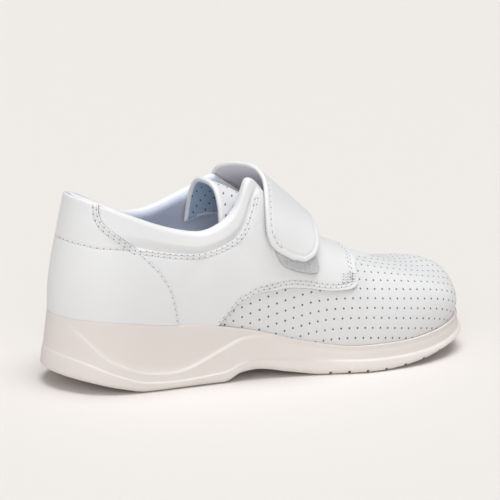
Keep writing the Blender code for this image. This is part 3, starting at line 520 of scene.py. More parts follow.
def loops(t):
    """The four loops of the upper at t: feather line, wall, shoulder and opening edge."""
    belly, rise, reach, ahead, drop, edge_x, edge_y, edge_z, pad, band = np.moveaxis(
        closed_spline(KNOTS, ROUND, LOOP_ROWS, t), -1, 0
    )
    out = outward(t)
    foot = outline(t) - FEATHER_INSET * out
    feather = np.dstack([foot, seat(foot[..., 1]) + FIT_GAP])
    wall = feather + np.dstack([out * belly[..., None], rise])
    edge = np.dstack([edge_x, edge_y, HEEL_THICKNESS + edge_z])
    shoulder = edge + np.dstack([reach, ahead, -drop])
    return feather, wall, shoulder, edge, np.clip(pad, 0, 1), band


def upper_point(t, v):
    """A point of the upper at t round it and v up it: the point, its normal, the direction up the
    section, the outward swell of the collar and the wall's thickness.

    Each section is a cubic curve from the feather line (v 0) to the opening's edge (v 1), drawn by
    the four loops.
    """
    t, v = np.broadcast_arrays(np.atleast_2d(t).astype(float), np.atleast_2d(v).astype(float))

    def bare(t, v):
        a, b, c, d, pad, band = loops(t)
        v = v[..., None]
        p = 1 - v
        return p**3 * a + 3 * p * p * v * b + 3 * p * v * v * c + v**3 * d, c, d, pad, band

    here, shoulder, edge, pad, start = bare(t, v)
    dv = np.where(v > 0.5, -1e-4, 1e-4)
    dt = TANGENT_STEP
    up = (bare(t, v + dv)[0] - here) / dv[..., None]
    along = bare(t + dt, v)[0] - bare(t - dt, v)[0]
    normal = np.cross(along, up)
    normal /= np.linalg.norm(normal, axis=-1, keepdims=True)
    up /= np.linalg.norm(up, axis=-1, keepdims=True)
    speed = 3 * np.linalg.norm(edge - shoulder, axis=-1)
    band = np.clip((v - start) / (1 - start), 0, 1)
    lining = np.clip(1 - (1 - v) * speed / PAD_DEPTH, 0, 1)
    rise = np.clip(2 * band, 0, 1)
    swell = COLLAR_SWELL * pad**2 * rise * rise * (3 - 2 * rise)
    inner = WALL + COLLAR_PAD * pad * lining * lining * (3 - 2 * lining)
    return here, normal, up, swell, inner


def outer_face(t, v, lift=0.0):
    here, normal, _, swell, _ = upper_point(t, v)
    return here + normal * (swell + lift)[..., None]


def inner_face(t, v, lift=0.0):
    """The lining's face. Near the sole it keeps clear of the seat."""
    here, normal, _, _, inner = upper_point(t, v)
    face = here - normal * (inner + lift)[..., None]
    face[..., 2] = np.maximum(face[..., 2], seat(face[..., 1]) + FIT_GAP)
    return face


def ring_places():
    """Places round the outline, in pairs at the same distance along the shoe on its two sides."""
    y = outline(np.linspace(0, ROUND, PLACES + 1))[:, 1]
    toe = int(y.argmax())
    heel = int(y.argmin())
    heel = heel if heel < toe else heel - PLACES
    steps = (1 - np.cos(np.pi * np.arange(RING_STEPS + 1) / RING_STEPS)) / 2
    level = y[heel % PLACES] + steps * (y[toe] - y[heel % PLACES])
    outer_side = np.arange(heel, toe + 1)
    inner_side = np.arange(toe, heel + PLACES + 1)
    outer = np.interp(level, y[outer_side % PLACES], outer_side * ROUND / PLACES)
    inner = np.interp(-level, -y[inner_side % PLACES], inner_side * ROUND / PLACES)
    return np.concatenate([outer, inner[-2:0:-1]])


RING = ring_places()


# Seams as rows of points: a section number and a share up the section.
SeamPoint = namedtuple("SeamPoint", "section height")
HEEL_SEAM = table(
    SeamPoint,
    (0, 0.656), (0.8, 0.656), (1.5, 0.658), (2.1, 0.694), (2.42, 0.725),
)
COLLAR_SEAM = table(
    SeamPoint,
    (2.78, 0.752), (3.05, 0.776), (3.45, 0.797), (3.85, 0.812), (4.35, 0.832), (4.8, 0.847),
    (5.3, 0.86), (5.9, 0.866), (6.35, 0.873), (6.72, 0.893), (7, 0.92),
)
QUARTER_SEAM = table(
    SeamPoint,
    (4.3, 0.04), (4.42, 0.11), (4.58, 0.212), (4.8, 0.318), (5.18, 0.392), (5.7, 0.432),
    (6.35, 0.437), (7.25, 0.42), (8.4, 0.422), (9.25, 0.434), (9.68, 0.456), (10, 0.496),
    (10.4, 0.566), (11.05, 0.66), (11.7, 0.746), (12.4, 0.82), (13.2, 0.885), (14, 0.906),
    (14.5, 0.909),
)
# The four short rows that lock the saddle's corner.
LOCK_ROWS = 4
LOCK_START = SeamPoint(9.28, 0.462)
LOCK_END = SeamPoint(10.00, 0.478)
LOCK_STEP = SeamPoint(0.13, 0.0195)

# Soft creases in the leather, each along a line of seam points. width, depth: in metres; a
# negative depth is a ridge.
Crease = namedtuple("Crease", "width depth points")
CREASES = [
    Crease(0.006, 0.0005, table(SeamPoint, (3.9, 0.3), (3.8, 0.5), (4.1, 0.7))),
    Crease(0.0045, 0.0006, table(SeamPoint, (5.6, 0.84), (5.9, 0.66), (6.1, 0.5))),
    Crease(0.004, -0.0005, table(SeamPoint, (6.5, 0.86), (6.6, 0.7), (6.5, 0.56))),
    Crease(0.007, 0.0005, table(SeamPoint, (9.4, 0.16), (9.8, 0.32), (10.6, 0.46))),
    Crease(0.006, 0.0005, table(SeamPoint, (25.1, 0.3), (25.2, 0.5), (24.9, 0.7))),
    Crease(0.0045, 0.0006, table(SeamPoint, (23.4, 0.84), (23.1, 0.66), (22.9, 0.5))),
    Crease(0.007, 0.0005, table(SeamPoint, (19.6, 0.16), (19.2, 0.32), (18.4, 0.46))),
]


class Wire:
    """The output of a shader node. Arithmetic on wires and numbers adds Math nodes."""

    def __init__(self, finish, socket):
        self.finish = finish
        self.socket = socket

    def reckon(self, operation, *values, clamp=False):
        settings = {"operation": operation, "use_clamp": clamp}
        return self.finish.node("ShaderNodeMath", settings, dict(enumerate(values)))

    def __add__(self, other):
        return self.reckon("ADD", self, other)

    def __radd__(self, other):
        return self.reckon("ADD", other, self)

    def __sub__(self, other):
        return self.reckon("SUBTRACT", self, other)

    def __rsub__(self, other):
        return self.reckon("SUBTRACT", other, self)

    def __mul__(self, other):
        return self.reckon("MULTIPLY", self, other)

    def __rmul__(self, other):
        return self.reckon("MULTIPLY", other, self)

    def __truediv__(self, other):
        return self.reckon("DIVIDE", self, other)

    def clamped(self):
        return self.reckon("ADD", self, 0.0, clamp=True)

    def folded(self):
        """The signed distance to the nearest whole number."""
        return self.reckon("FRACT", self + 0.5) - 0.5


class Finish:
    """A material under construction: a Principled shader and the nodes that feed it."""

    def __init__(self, name):
        self.material = bpy.data.materials.new(name)
        self.material.use_nodes = True
        self.tree = self.material.node_tree
        self.shader = self.tree.nodes["Principled BSDF"]

    def node(self, kind, settings=None, inputs=None, output=0):
        """Adds a node: its settings, then its inputs as wires or plain values."""
        made = self.tree.nodes.new(kind)
        for name, value in (settings or {}).items():
            setattr(made, name, value)
        for name, value in (inputs or {}).items():
            self.feed(made.inputs[name], value)
        return Wire(self, made.outputs[output])

    def feed(self, socket, value):
        if isinstance(value, Wire):
            self.tree.links.new(value.socket, socket)
        else:
            socket.default_value = value

    def set(self, **values):
        """Feeds the shader's own sockets, named with _ for a space."""
        for name, value in values.items():
            self.feed(self.shader.inputs[name.replace("_", " ")], value)
        return self

    def place(self):
        return self.node("ShaderNodeTexCoord", output="Object")

    def pattern(self):
        """The piece's own pattern coordinates, in metres."""
        uv = self.node("ShaderNodeUVMap", {"uv_map": "pattern"})
        scale = {"operation": "SCALE"}
        scaled = self.node("ShaderNodeVectorMath", scale, {0: uv, "Scale": UV_UNIT})
        x = self.node("ShaderNodeSeparateXYZ", {}, {0: scaled}, "X")
        y = self.node("ShaderNodeSeparateXYZ", {}, {0: scaled}, "Y")
        return x, y

    def noise(self, scale, detail=2.0, roughness=0.5):
        inputs = {"Vector": self.place(), "Scale": scale, "Detail": detail, "Roughness": roughness}
        return self.node("ShaderNodeTexNoise", {}, inputs, "Fac")

    def cells(self, scale, randomness=1.0):
        inputs = {"Vector": self.place(), "Scale": scale, "Randomness": randomness}
        return self.node("ShaderNodeTexVoronoi", {"feature": "F1"}, inputs, "Distance")

    def blend(self, amount, first, second):
        """A colour between two, by amount: the colour sockets of a Mix node are numbers 6 and 7."""
        sockets = {0: amount, 6: first, 7: second}
        return self.node("ShaderNodeMix", {"data_type": "RGBA"}, sockets, 2)

    def relief(self, height, strength, distance):
        inputs = {"Height": height, "Strength": strength, "Distance": distance}
        return self.node("ShaderNodeBump", {}, inputs)


def rgb(red, green, blue):
    return (red, green, blue, 1.0)


def holes(finish):
    """How much of a punched hole and of its dimple each place has, on a slanting lattice.

    The place is split into shares of the lattice's two steps. What each share lacks to the nearest
    whole number gives the way to the nearest hole.
    """
    x, y = finish.pattern()
    (ax, ay), (bx, by) = HOLE_STEP_A, HOLE_STEP_B
    area = ax * by - ay * bx
    a = (x * (by / area) - y * (bx / area)).folded()
    b = (y * (ax / area) - x * (ay / area)).folded()
    aside, ahead = a * ax + b * bx, a * ay + b * by
    distance = a.reckon("SQRT", aside * aside + ahead * ahead)
    hole = ((HOLE_RADIUS + HOLE_SOFTNESS - distance) / (2 * HOLE_SOFTNESS)).clamped()
    dimple = (1 - distance / DIMPLE_RADIUS).clamped()
    return hole, dimple * dimple


def leather(name, white, grey, punched=False, grain=0.10):
    """White box calf: a fine pebble grain, slow changes of tone and a soft coated gloss."""
    finish = Finish(name)
    tone = finish.noise(28.0, 3.0)
    pebble = finish.cells(1500.0)
    pore = finish.noise(2600.0, 3.0, 0.6)
    colour = finish.blend((tone - 0.35) * 1.6, white, grey)
    height = pebble * 0.7 + pore * 0.5
    rough = 0.36 + 0.12 * tone + 0.06 * pore
    if punched:
        hole, dimple = holes(finish)
        # Painted shade: each punched hole is coloured near black for the shadow in the hollow
        # behind it.
        colour = finish.blend(hole, colour, rgb(0.10, 0.11, 0.13))
        height = height - dimple * 6.0 - hole * 4.0
        rough = rough + 0.4 * hole
    finish.set(
        Base_Color=colour,
        Roughness=rough.clamped(),
        Normal=finish.relief(height, grain, 0.00022),
        Specular_IOR_Level=0.42,
        Coat_Weight=0.12,
        Coat_Roughness=0.35,
    )
    return finish.material


def textile(name, light, dark, thread, punched=False):
    """Brushed lining cloth: a fine woven relief and a soft mottle."""
    finish = Finish(name)
    tone = finish.noise(60.0, 4.0, 0.6)
    weave = finish.cells(1 / thread, 0.35)
    colour = finish.blend((tone - 0.3) * 1.5, light, dark)
    height = weave + finish.noise(900.0, 2.0) * 0.6
    if punched:
        hole, dimple = holes(finish)
        # Painted shade: each punched hole is coloured near black for the shadow in the hollow
        # behind it.
        colour = finish.blend(hole, colour, rgb(0.05, 0.07, 0.10))
        height = height - dimple * 4.0
    finish.set(
        Base_Color=colour,
        Roughness=(0.78 + 0.15 * tone).clamped(),
        Normal=finish.relief(height, 0.35, 0.0003),
        Specular_IOR_Level=0.25,
    )
    return finish.material


def moulded_foam(name):
    """Cream polyurethane from the mould: satin skin, faint clouding and tiny pits."""
    finish = Finish(name)
    cloud = finish.noise(22.0, 3.0)
    pits = finish.cells(700.0)
    skin = finish.noise(1800.0, 2.0)
    colour = finish.blend((cloud - 0.35) * 1.8, rgb(0.800, 0.742, 0.708), rgb(0.765, 0.706, 0.672))
    finish.set(
        Base_Color=colour,
        Roughness=(0.46 + 0.14 * cloud).clamped(),
        Normal=finish.relief(pits * 0.5 + skin * 0.7, 0.12, 0.00025),
        Specular_IOR_Level=0.40,
        Subsurface_Weight=0.06,
        Subsurface_Radius=(0.0030, 0.0022, 0.0018),
        Subsurface_Scale=1.0,
    )
    return finish.material


def hook_tape(name):
    """Hook and loop tape: a dense nap of loops, its grey-white darkened as painted shade under the
    strap.
    """
    finish = Finish(name)
    loops_relief = finish.cells(1100.0)
    # Painted shade: the tape's mid grey stands partly for the strap's shadow falling on it.
    colour = finish.blend(loops_relief, rgb(0.70, 0.70, 0.71), rgb(0.50, 0.51, 0.53))
    finish.set(
        Base_Color=colour,
        Roughness=0.9,
        Normal=finish.relief(loops_relief, 0.8, 0.0006),
        Specular_IOR_Level=0.2,
    )
    return finish.material


def plain(name, colour, roughness):
    finish = Finish(name)
    mottle = finish.noise(800.0, 2.0)
    finish.set(
        Base_Color=colour,
        Roughness=(roughness + 0.1 * (mottle - 0.5)).clamped(),
        Specular_IOR_Level=0.3,
    )
    return finish.material


def grid_faces(rows, cols, round_rows=False, round_cols=False):
    """Quads between neighbours of a grid of rows by cols points, closed round where asked."""
    r = np.arange(rows if round_rows else rows - 1)[:, None]
    c = np.arange(cols if round_cols else cols - 1)[None, :]
    low, high = r * cols, (r + 1) % rows * cols
    left, right = c, (c + 1) % cols
    quads = np.stack([low + left, low + right, high + right, high + left], axis=-1)
    return quads.reshape(-1, 4)


def add_piece(name, points, faces, finishes, chosen=None, pattern=None):
    """A mesh piece from arrays: faces is a list of arrays, each with one number of corners.

    chosen gives each face's finish. pattern gives each point's pattern coordinates in metres.
    """
    points = points.reshape(-1, 3) - MIDDLE
    corners = np.concatenate([f.ravel() for f in faces])
    sizes = np.concatenate([np.full(len(f), f.shape[1]) for f in faces])
    mesh = bpy.data.meshes.new(name)
    mesh.vertices.add(len(points))
    mesh.vertices.foreach_set("co", points.astype(np.float32).ravel())
    mesh.loops.add(len(corners))
    mesh.loops.foreach_set("vertex_index", corners.astype(np.int32))
    mesh.polygons.add(len(sizes))
    mesh.polygons.foreach_set("loop_start", (np.cumsum(sizes) - sizes).astype(np.int32))
    if pattern is not None:
        layer = mesh.uv_layers.new(name="pattern")
        spread = (pattern.reshape(-1, 2) / UV_UNIT)[corners]
        layer.data.foreach_set("uv", spread.astype(np.float32).ravel())
    for finish in finishes:
        mesh.materials.append(finish)
    if chosen is not None:
        mesh.polygons.foreach_set("material_index", chosen.astype(np.int32))
    mesh.update(calc_edges=True)
    mesh.validate()
    mesh.shade_smooth()
    piece = linked(name, mesh)
    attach(piece, "root")
    return piece


def linked(name, data):
    """A new object of the scene that shows the data."""
    made = bpy.data.objects.new(name, data)
    bpy.context.scene.collection.objects.link(made)
    return made


def unit(vectors):
    return vectors / np.linalg.norm(vectors, axis=-1, keepdims=True)


def surface_normals(grid):
    """Unit normals of a grid of points, from the next ones along and up it."""
    return unit(np.cross(np.gradient(grid, axis=1), np.gradient(grid, axis=0)))


def run_length(points, axis):
    """Distance travelled along an axis of a grid of points."""
    steps = np.linalg.norm(np.diff(points, axis=axis), axis=-1)
    pad = [(0, 0), (0, 0)]
    pad[axis] = (1, 0)
    return np.pad(np.cumsum(steps, axis=axis), pad)


def travelled(line):
    """How far each point of a line lies along it."""
    return np.append(0, np.cumsum(np.linalg.norm(np.diff(line, axis=0), axis=1)))


def between(at, run, values):
    """Points or directions at distances along a line, straight between its own."""
    return np.stack([np.interp(at, run, values[:, k]) for k in range(3)], axis=-1)


def nearest(points, line):
    """Distance of each point of a grid from the nearest point of a line."""
    flat = points.reshape(-1, 3)
    least = np.full(len(flat), np.inf)
    for some in np.array_split(line, max(1, len(line) // 40)):
        least = np.minimum(least, ((flat[:, None] - some) ** 2).sum(axis=-1).min(axis=1))
    return np.sqrt(least).reshape(points.shape[:-1])


def edge_distance(points):
    """Distance of each grid point from the nearest place on the grid's rim."""
    rim = np.concatenate([points[0], points[1:, -1], points[-1, -2::-1], points[-2::-1, 0]])
    run = travelled(rim)
    return nearest(points, between(np.arange(0, run[-1], RIM_SPACING), run, rim))


def rounded(distance, radius):
    """A quarter round: nought at the edge, one from radius inwards."""
    return np.sqrt(1 - (1 - np.clip(distance / radius, 0, 1)) ** 2)


def edge_shares(count, rim):
    """Shares from 0 to 1, close together within rim of both ends."""
    near = rim * (1 - np.cos(np.linspace(0, math.pi / 2, 6)))
    middle = np.linspace(rim, 1 - rim, count)[1:-1]
    return np.concatenate([near, middle, 1 - near[::-1]])


def seam_places(points, steps=24):
    """Section numbers and heights along a seam, evenly spaced between its points."""
    rows = np.arange(len(points))
    fine = np.linspace(0, len(points) - 1, (len(points) - 1) * steps + 1)
    return eased(fine, rows, column(points, "section")), eased(fine, rows, column(points, "height"))


def mirrored(points):
    return [SeamPoint(len(SECTIONS) - p.section, p.height) for p in points]


def seam_line(points, lift):
    """A seam's points on the leather and the leather's normals there."""
    section, height = seam_places(points)
    here, normal = skin(around(section)[None], height[None])
    return (here + normal * lift)[0], normal[0]


def hollow(points, line, width):
    """How deep in a seam's or crease's hollow each point is: one on its line, fading softly."""
    return np.exp(-((nearest(points, line) / width) ** 2))


def worked(points, normals):
    """The leather as worn in: pulled in along its seams, with the soft creases pressed in it."""
    sink = np.zeros(points.shape[:-1])
    for line in SEAM_LINES:
        sink += SEAM_GROOVE * hollow(points, line, SEAM_GROOVE_WIDTH)
    for crease in CREASES:
        line = seam_line(crease.points, LEATHER_LIFT)[0][::6]
        sink += crease.depth * hollow(points, line, crease.width)
    return points - normals * sink[..., None]


def skin(place, height):
    """The upper's outer face and its normals. Heights past one run over the collar's roll.

    The roll is a half circle on the wall's two faces: LIP_SHARE of height turns it right over.
    """
    here, normal, up, swell, inner = upper_point(place, np.minimum(height, 1))
    turn = np.maximum(height - 1, 0) / LIP_SHARE * math.pi
    radius = (swell + inner) / 2
    out = swell + radius * (np.cos(turn) - 1)
    points = here + normal * out[..., None] + up * (radius * np.sin(turn))[..., None]
    return points, normal * np.cos(turn)[..., None] + up * np.sin(turn)[..., None]


def closed_sheet(face, back):
    """Points and faces of a closed sheet between two grids, the first one outside."""
    rows, cols = face.shape[:2]
    count = rows * cols
    top = grid_faces(rows, cols)
    low = top[:, ::-1] + count
    index = np.arange(count).reshape(rows, cols)
    rim = np.concatenate([index[0], index[1:, -1], index[-1, -2::-1], index[-2:0:-1, 0]])
    after = np.roll(rim, -1)
    side = np.stack([after, rim, rim + count, after + count], axis=-1)
    return np.concatenate([face.reshape(-1, 3), back.reshape(-1, 3)]), [top, low, side]


def flattened(section, height):
    """A grid of the upper laid flat, as the leather lay when it was punched.

    It starts with each section laid straight outwards from the opening's edge. Every round then
    moves the points a little towards giving each side and diagonal its length on the shoe.
    """
    points = skin(around(section), height)[0]
    run = run_length(points[::-1], 0)[::-1]
    turn = eased(section[-1], [FLAT_FROM, 8, 14.5, 21, FLAT_TO], np.radians([-4, 8, 90, 172, 184]))
    flat = points[-1:, :, :2] + np.stack([np.cos(turn), np.sin(turn)], axis=-1) * run[..., None]
    lengths = [np.linalg.norm(points[a] - points[b], axis=-1) for a, b in NEIGHBOURS]
    for _ in range(FLAT_ROUNDS):
        move = np.zeros_like(flat)
        for (a, b), length in zip(NEIGHBOURS, lengths):
            gap = flat[a] - flat[b]
            pull = gap * (length / np.linalg.norm(gap, axis=-1) - 1)[..., None]
            move[a] += pull
            move[b] -= pull
        flat += move * 0.1
    return flat


def ring_numbers():
    """The section number at each place of the ring."""
    return np.interp(RING % ROUND, np.append(KNOTS, ROUND), np.arange(len(SECTIONS) + 1))


def shell_pattern(height):
    """Pattern coordinates of the shell: its places on the flat leather."""
    section = np.linspace(FLAT_FROM, FLAT_TO, FLAT_COLUMNS)
    share = np.linspace(0, 1, FLAT_ROWS)
    flat = flattened(*np.meshgrid(section, share))
    at = eased(ring_numbers(), section, flat.transpose(1, 0, 2))
    row = np.clip(height, 0, 1) * (FLAT_ROWS - 1)
    low = np.minimum(row.astype(int), FLAT_ROWS - 2)
    part = (row - low)[..., None]
    columns = np.arange(len(RING))
    return at[columns, low] * (1 - part) + at[columns, low + 1] * part


def build_upper(punched, smooth, cloth, seam):
    """The shell: its outer face from the sole up, the collar's roll and the lining's face."""
    band = loops(RING[None, :])[5][0]
    low = np.linspace(0, 1, SHELL_STEPS)[:, None] * band
    high = band + (1 - band) * np.linspace(0, 1, COLLAR_STEPS + 1)[1:, None]
    lip = 1 + np.linspace(0, LIP_SHARE, LIP_ROWS + 1)[1:-1, None] + 0 * RING
    height = np.concatenate([low, high, lip])
    outer, normal = skin(np.broadcast_to(RING, height.shape), height)
    outer = worked(outer, normal)
    number = ring_numbers()
    far = np.minimum(number, len(SECTIONS) - number)
    rim = np.exp(-(((height - RIM_SEAM) / RIM_SEAM_WIDTH) ** 2)) * np.clip(RIM_SEAM_END - far, 0, 1)
    outer -= normal * (RIM_SEAM_DEPTH * rim)[..., None]
    down = np.linspace(1, 0, LINING_ROWS)[:, None] + 0 * RING
    inside = inner_face(np.broadcast_to(RING, down.shape), down)
    points = np.concatenate([outer, inside])
    faces = grid_faces(len(points), len(RING), True, True)
    row_of = np.repeat(np.arange(len(points)), len(RING))
    chosen = np.zeros(len(faces), int)
    chosen[row_of >= SHELL_STEPS * SMOOTH_FROM] = 1
    chosen[row_of >= SHELL_STEPS + COLLAR_STEPS + LIP_ROWS * CLOTH_FROM] = 2
    # The collar seam takes the dark edge finish: the cut edge's grey and painted shade in its
    # groove.
    chosen[: rim.size][rim.ravel() > RIM_SEAM_SHOWN] = 3
    pattern = shell_pattern(np.concatenate([height, down]))
    finishes = [punched, smooth, cloth, seam]
    piece = add_piece("upper_leather", points, [faces], finishes, chosen, pattern)
    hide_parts("upper")


def quarter_places(columns, rows):
    """Section numbers and heights over the saddle's outer half: a patch between its four edges."""
    w = edge_shares(columns, 0.008)[: columns + 4] * (len(QUARTER) - 1)
    w = np.append(w[w < len(QUARTER) - 1], len(QUARTER) - 1)
    r = edge_shares(rows, 0.02)[:, None]
    step = np.arange(len(QUARTER))
    low_section, low_height, high_section, high_height = (
        eased(w, step, column(QUARTER, name)) for name in QuarterRow._fields
    )
    low = np.stack([low_section, low_height], axis=-1)
    high = np.stack([high_section, high_height], axis=-1)
    q = (w / (len(QUARTER) - 1))[None, :, None]
    height = low[0, 1] + (high[0, 1] - low[0, 1]) * r
    seam = eased(height, column(COUNTER, "height"), column(COUNTER, "section")) - UNDERLAP
    rear = np.concatenate([seam, height], axis=1)[:, None]
    straight = low[0] + (high[0] - low[0]) * r
    ruled = (1 - r[..., None]) * low + r[..., None] * high
    return ruled + (1 - q) ** 3 * (rear - straight[:, None])


def sewn_panel(name, node, section, height, lift, finishes, soft=0.0):
    """A sewn panel over the upper: its face at lift, rounded to a dark cut edge (its own grey and
    painted shade), and its back.

    soft: how wide its upper edge thins out, where it is turned under instead of cut.
    """
    base, normal = skin(around(section), height)
    inset = edge_distance(base)
    rise = rounded(inset, LEATHER_EDGE)
    from_top = run_length(base[::-1], 0)[::-1]
    if soft:
        share = np.clip(from_top / soft, 0, 1)
        rise = np.minimum(rise, share * share * (3 - 2 * share))
    face = base + normal * (lift * rise + FACE_CLEAR)[..., None]
    points, faces = closed_sheet(worked(face, normal), base - normal * BACK_SUNK)
    # The dark band along the cut edge: partly the raw edge's colour, partly painted shade under it.
    cut = (inset < CUT_AND_SHADE_WIDTH) & (from_top > soft)
    cut = (cut[:-1, :-1] & cut[1:, 1:]).ravel()
    chosen = np.concatenate([cut.astype(int), np.zeros(len(faces[1]) + len(faces[2]), int)])
    piece = add_piece(name, points, faces, finishes, chosen)
    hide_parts(node)


def build_quarter(finishes):
    """The saddle over both sides and round the front of the throat."""
    half = quarter_places(190, 60)
    section, height = half[..., 0], half[..., 1]
    section = np.concatenate([section, len(SECTIONS) - section[:, -2::-1]], axis=1)
    height = np.concatenate([height, height[:, -2::-1]], axis=1)
    sewn_panel("quarter_leather", "quarter", section, height, LEATHER_LIFT, finishes, TURNED_EDGE)


def build_counter(finishes):
    """The heel panel, lapped over the saddle's rear edges."""
    r = edge_shares(90, 0.02)
    height = COUNTER[0].height + (COUNTER[-1].height - COUNTER[0].height) * r
    reach = eased(height, column(COUNTER, "height"), column(COUNTER, "section"))
    section = (2 * edge_shares(130, 0.008) - 1)[None, :] * reach[:, None]
    up = np.broadcast_to(height[:, None], section.shape)
    sewn_panel("counter_leather", "heel_counter", section, up, COUNTER_LIFT, finishes)


def pillowed(middle, thickness, radius):
    """Face and back of a free band of leather, rounded at its edges."""
    normal = surface_normals(middle)
    half = (thickness / 2 * rounded(edge_distance(middle), radius) + LEAST_HALF)[..., None]
    return middle + normal * half, middle - normal * half, normal


def build_tongue(punched, cloth, border):
    """The padded tongue under the throat, with a rolled white edge and a blue-grey lining darkened
    as painted shade.
    """
    rows = np.arange(len(TONGUE))
    steps = edge_shares(110, 0.03) * (len(TONGUE) - 1)
    along, up, side, drop = (
        eased(steps, rows, column(TONGUE, name))[:, None] for name in TongueRow._fields
    )
    turn = (2 * edge_shares(90, 0.05) - 1)[None, :] * TONGUE_TURN
    x = side * BALL_WIDTH / 2 * np.sin(turn) / math.sin(TONGUE_TURN)
    fall = ((1 - np.cos(turn)) / (1 - math.cos(TONGUE_TURN))) ** TONGUE_SQUARENESS
    z = HEEL_THICKNESS + INSTEP_RISE * (up - drop * fall)
    y = np.broadcast_to((along - 0.5) * LENGTH, x.shape)
    top = np.stack([x, y, z], axis=-1)[:, ::-1]
    middle = top - surface_normals(top) * TONGUE_THICKNESS / 2
    face, back, _ = pillowed(middle, TONGUE_THICKNESS, TONGUE_THICKNESS / 2)
    points, faces = closed_sheet(face, back)
    inside = (edge_distance(middle) > TONGUE_BORDER)[:-1, :-1].ravel()
    sides = [np.where(inside, 0, 2), np.where(inside, 1, 2), np.full(len(faces[2]), 2)]
    flat = np.stack([run_length(middle, 1), run_length(middle, 0)], axis=-1)
    pattern = np.concatenate([flat.reshape(-1, 2), flat.reshape(-1, 2)])
    finishes = [punched, cloth, border]
    chosen = np.concatenate(sides)
    piece = add_piece("tongue_leather", points, faces, finishes, chosen, pattern)
    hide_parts("tongue")


def softened(held):
    """The columns of a table of the strap or its patch at three steps a row, without its kinks."""
    rows = np.arange(len(held))
    fine = np.linspace(0, rows[-1], 3 * rows[-1] + 1)
    table = eased(fine, rows, np.array(held))
    for _ in range(4):
        table[1:-1] = (table[:-2] + 2 * table[1:-1] + table[2:]) / 4
    return table.T


def build_patch(finish):
    """The hook and loop patch between the saddle and the strap's end, whose grey below the strap is
    partly painted shadow.
    """
    table = softened(PATCH)
    steps = edge_shares(60, 0.05) * (table.shape[1] - 1)
    height, rear, front = eased(steps, np.arange(table.shape[1]), table.T).T[:, :, None]
    section = rear + (front - rear) * edge_shares(50, 0.04)
    height = np.broadcast_to(height, section.shape)
    here, normal, _, swell, _ = upper_point(around(section), height)
    base = here + normal * swell[..., None]
    edge = rounded(edge_distance(base), PATCH_EDGE)
    top = base + normal * (PATCH_BASE + PATCH_THICKNESS * edge)[..., None]
    points, faces = closed_sheet(top, base + normal * LEATHER_LIFT)
    piece = add_piece("tape_patch", points, faces, [finish])
    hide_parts("closure_patch")


def strap_surface(across, count):
    """The strap's outer face, from its free end over the instep to its stitched root."""
    lines = []
    for held, base in ((STRAP_END, STRAP_BASE), (STRAP_ROOT, ROOT_BASE)):
        rear, low, front, high = softened(held)
        section = rear[:, None] + (front - rear)[:, None] * across
        height = low[:, None] + (high - low)[:, None] * across
        lines.append(outer_face(around(section), height, base + STRAP_THICKNESS))
    arch = np.array(STRAP_ARCH)[:, None]
    share = arch[..., :3] + (arch[..., 3:] - arch[..., :3]) * across[:, None]
    size = np.array([HALF_BALL, LENGTH, INSTEP_RISE])
    free = (share - [0, 0.5, 0]) * size + [0, 0, HEEL_THICKNESS]
    lines = np.concatenate([lines[0], free, lines[1]])
    middle = lines[:, len(across) // 2]
    run = travelled(middle)
    grid = eased(edge_shares(count, 0.012) * run[-1], run, lines)
    for _ in range(STRAP_SMOOTHING):
        grid[1:-1] = (grid[:-2] + 2 * grid[1:-1] + grid[2:]) / 4
    return grid


def build_strap(finish, under):
    """The closing strap: leather above, tape below, a rounded edge and a pressed seam line."""
    top = strap_surface(edge_shares(60, 0.04), 260)
    middle = top - surface_normals(top) * STRAP_THICKNESS / 2
    face, back, normal = pillowed(middle, STRAP_THICKNESS, STRAP_EDGE)
    inset = edge_distance(middle)
    press = STRAP_SEAM_DEPTH * np.exp(-(((inset - STRAP_SEAM_INSET) / STRAP_SEAM_WIDTH) ** 2))
    face = face - normal * press[..., None]
    points, faces = closed_sheet(face, back)
    inside = (inset > STRAP_BORDER)[:-1, :-1].ravel()
    chosen = np.concatenate([0 * inside, 1 * inside, np.zeros(len(faces[2]), int)])
    piece = add_piece("strap_leather", points, faces, [finish, under], chosen)
    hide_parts("strap")


def side_rows():
    """The rows of the sole's side, from the seat over the lip and down to the underside."""
    out = outward(RING)
    edge = outline(RING)
    y = edge[:, 1]
    top, bottom = sole_top(y), sole_bottom(y)
    height = top - bottom
    panel_line, rib = side_line(y, "panel"), side_line(y, "rib")
    panel_step = PANEL_STEP * side_line(y, "panel_step")
    rib_step = RIB_STEP * side_line(y, "rib_step")

    def row(offset, z):
        place = edge + out * np.broadcast_to(offset, y.shape)[:, None]
        return np.column_stack([place, z(place[:, 1]) if callable(z) else z])

    taper = -SIDE_TAPER
    lip = -SIDE_TAPER - LIP_WIDTH
    middle = (panel_line + rib) / 2
    brim = np.minimum(SOLE_EDGE_RADIUS, height * rib / 2)
    return np.array(
        [
            row(lip - LIP_CLOSE, seat),
            row(lip - LIP_CLOSE, top - 0.25 * LIP_DEPTH),
            row(lip + 0.35 * LIP_WIDTH, top),
            row(taper - 0.30 * LIP_WIDTH, top),
            row(taper, top - 0.55 * LIP_DEPTH),
            row(taper * panel_line - panel_step / 2, bottom + height * panel_line + LEDGE_HALF),
            row(taper * panel_line + panel_step / 2, bottom + height * panel_line - LEDGE_HALF),
            row(taper * middle + panel_step * 0.45, bottom + height * middle),
            row(taper * rib + panel_step * 0.5, bottom + height * rib + LEDGE_HALF / 2),
            row(taper * rib + rib_step + panel_step * 0.4, bottom + height * rib - LEDGE_HALF / 2),
            row(rib_step + panel_step * 0.2, bottom + brim),
            row(rib_step * 0.5 - 0.35 * SOLE_EDGE_RADIUS, bottom + 0.2 * SOLE_EDGE_RADIUS),
            row(-SOLE_EDGE_RADIUS, sole_bottom),
        ]
    )


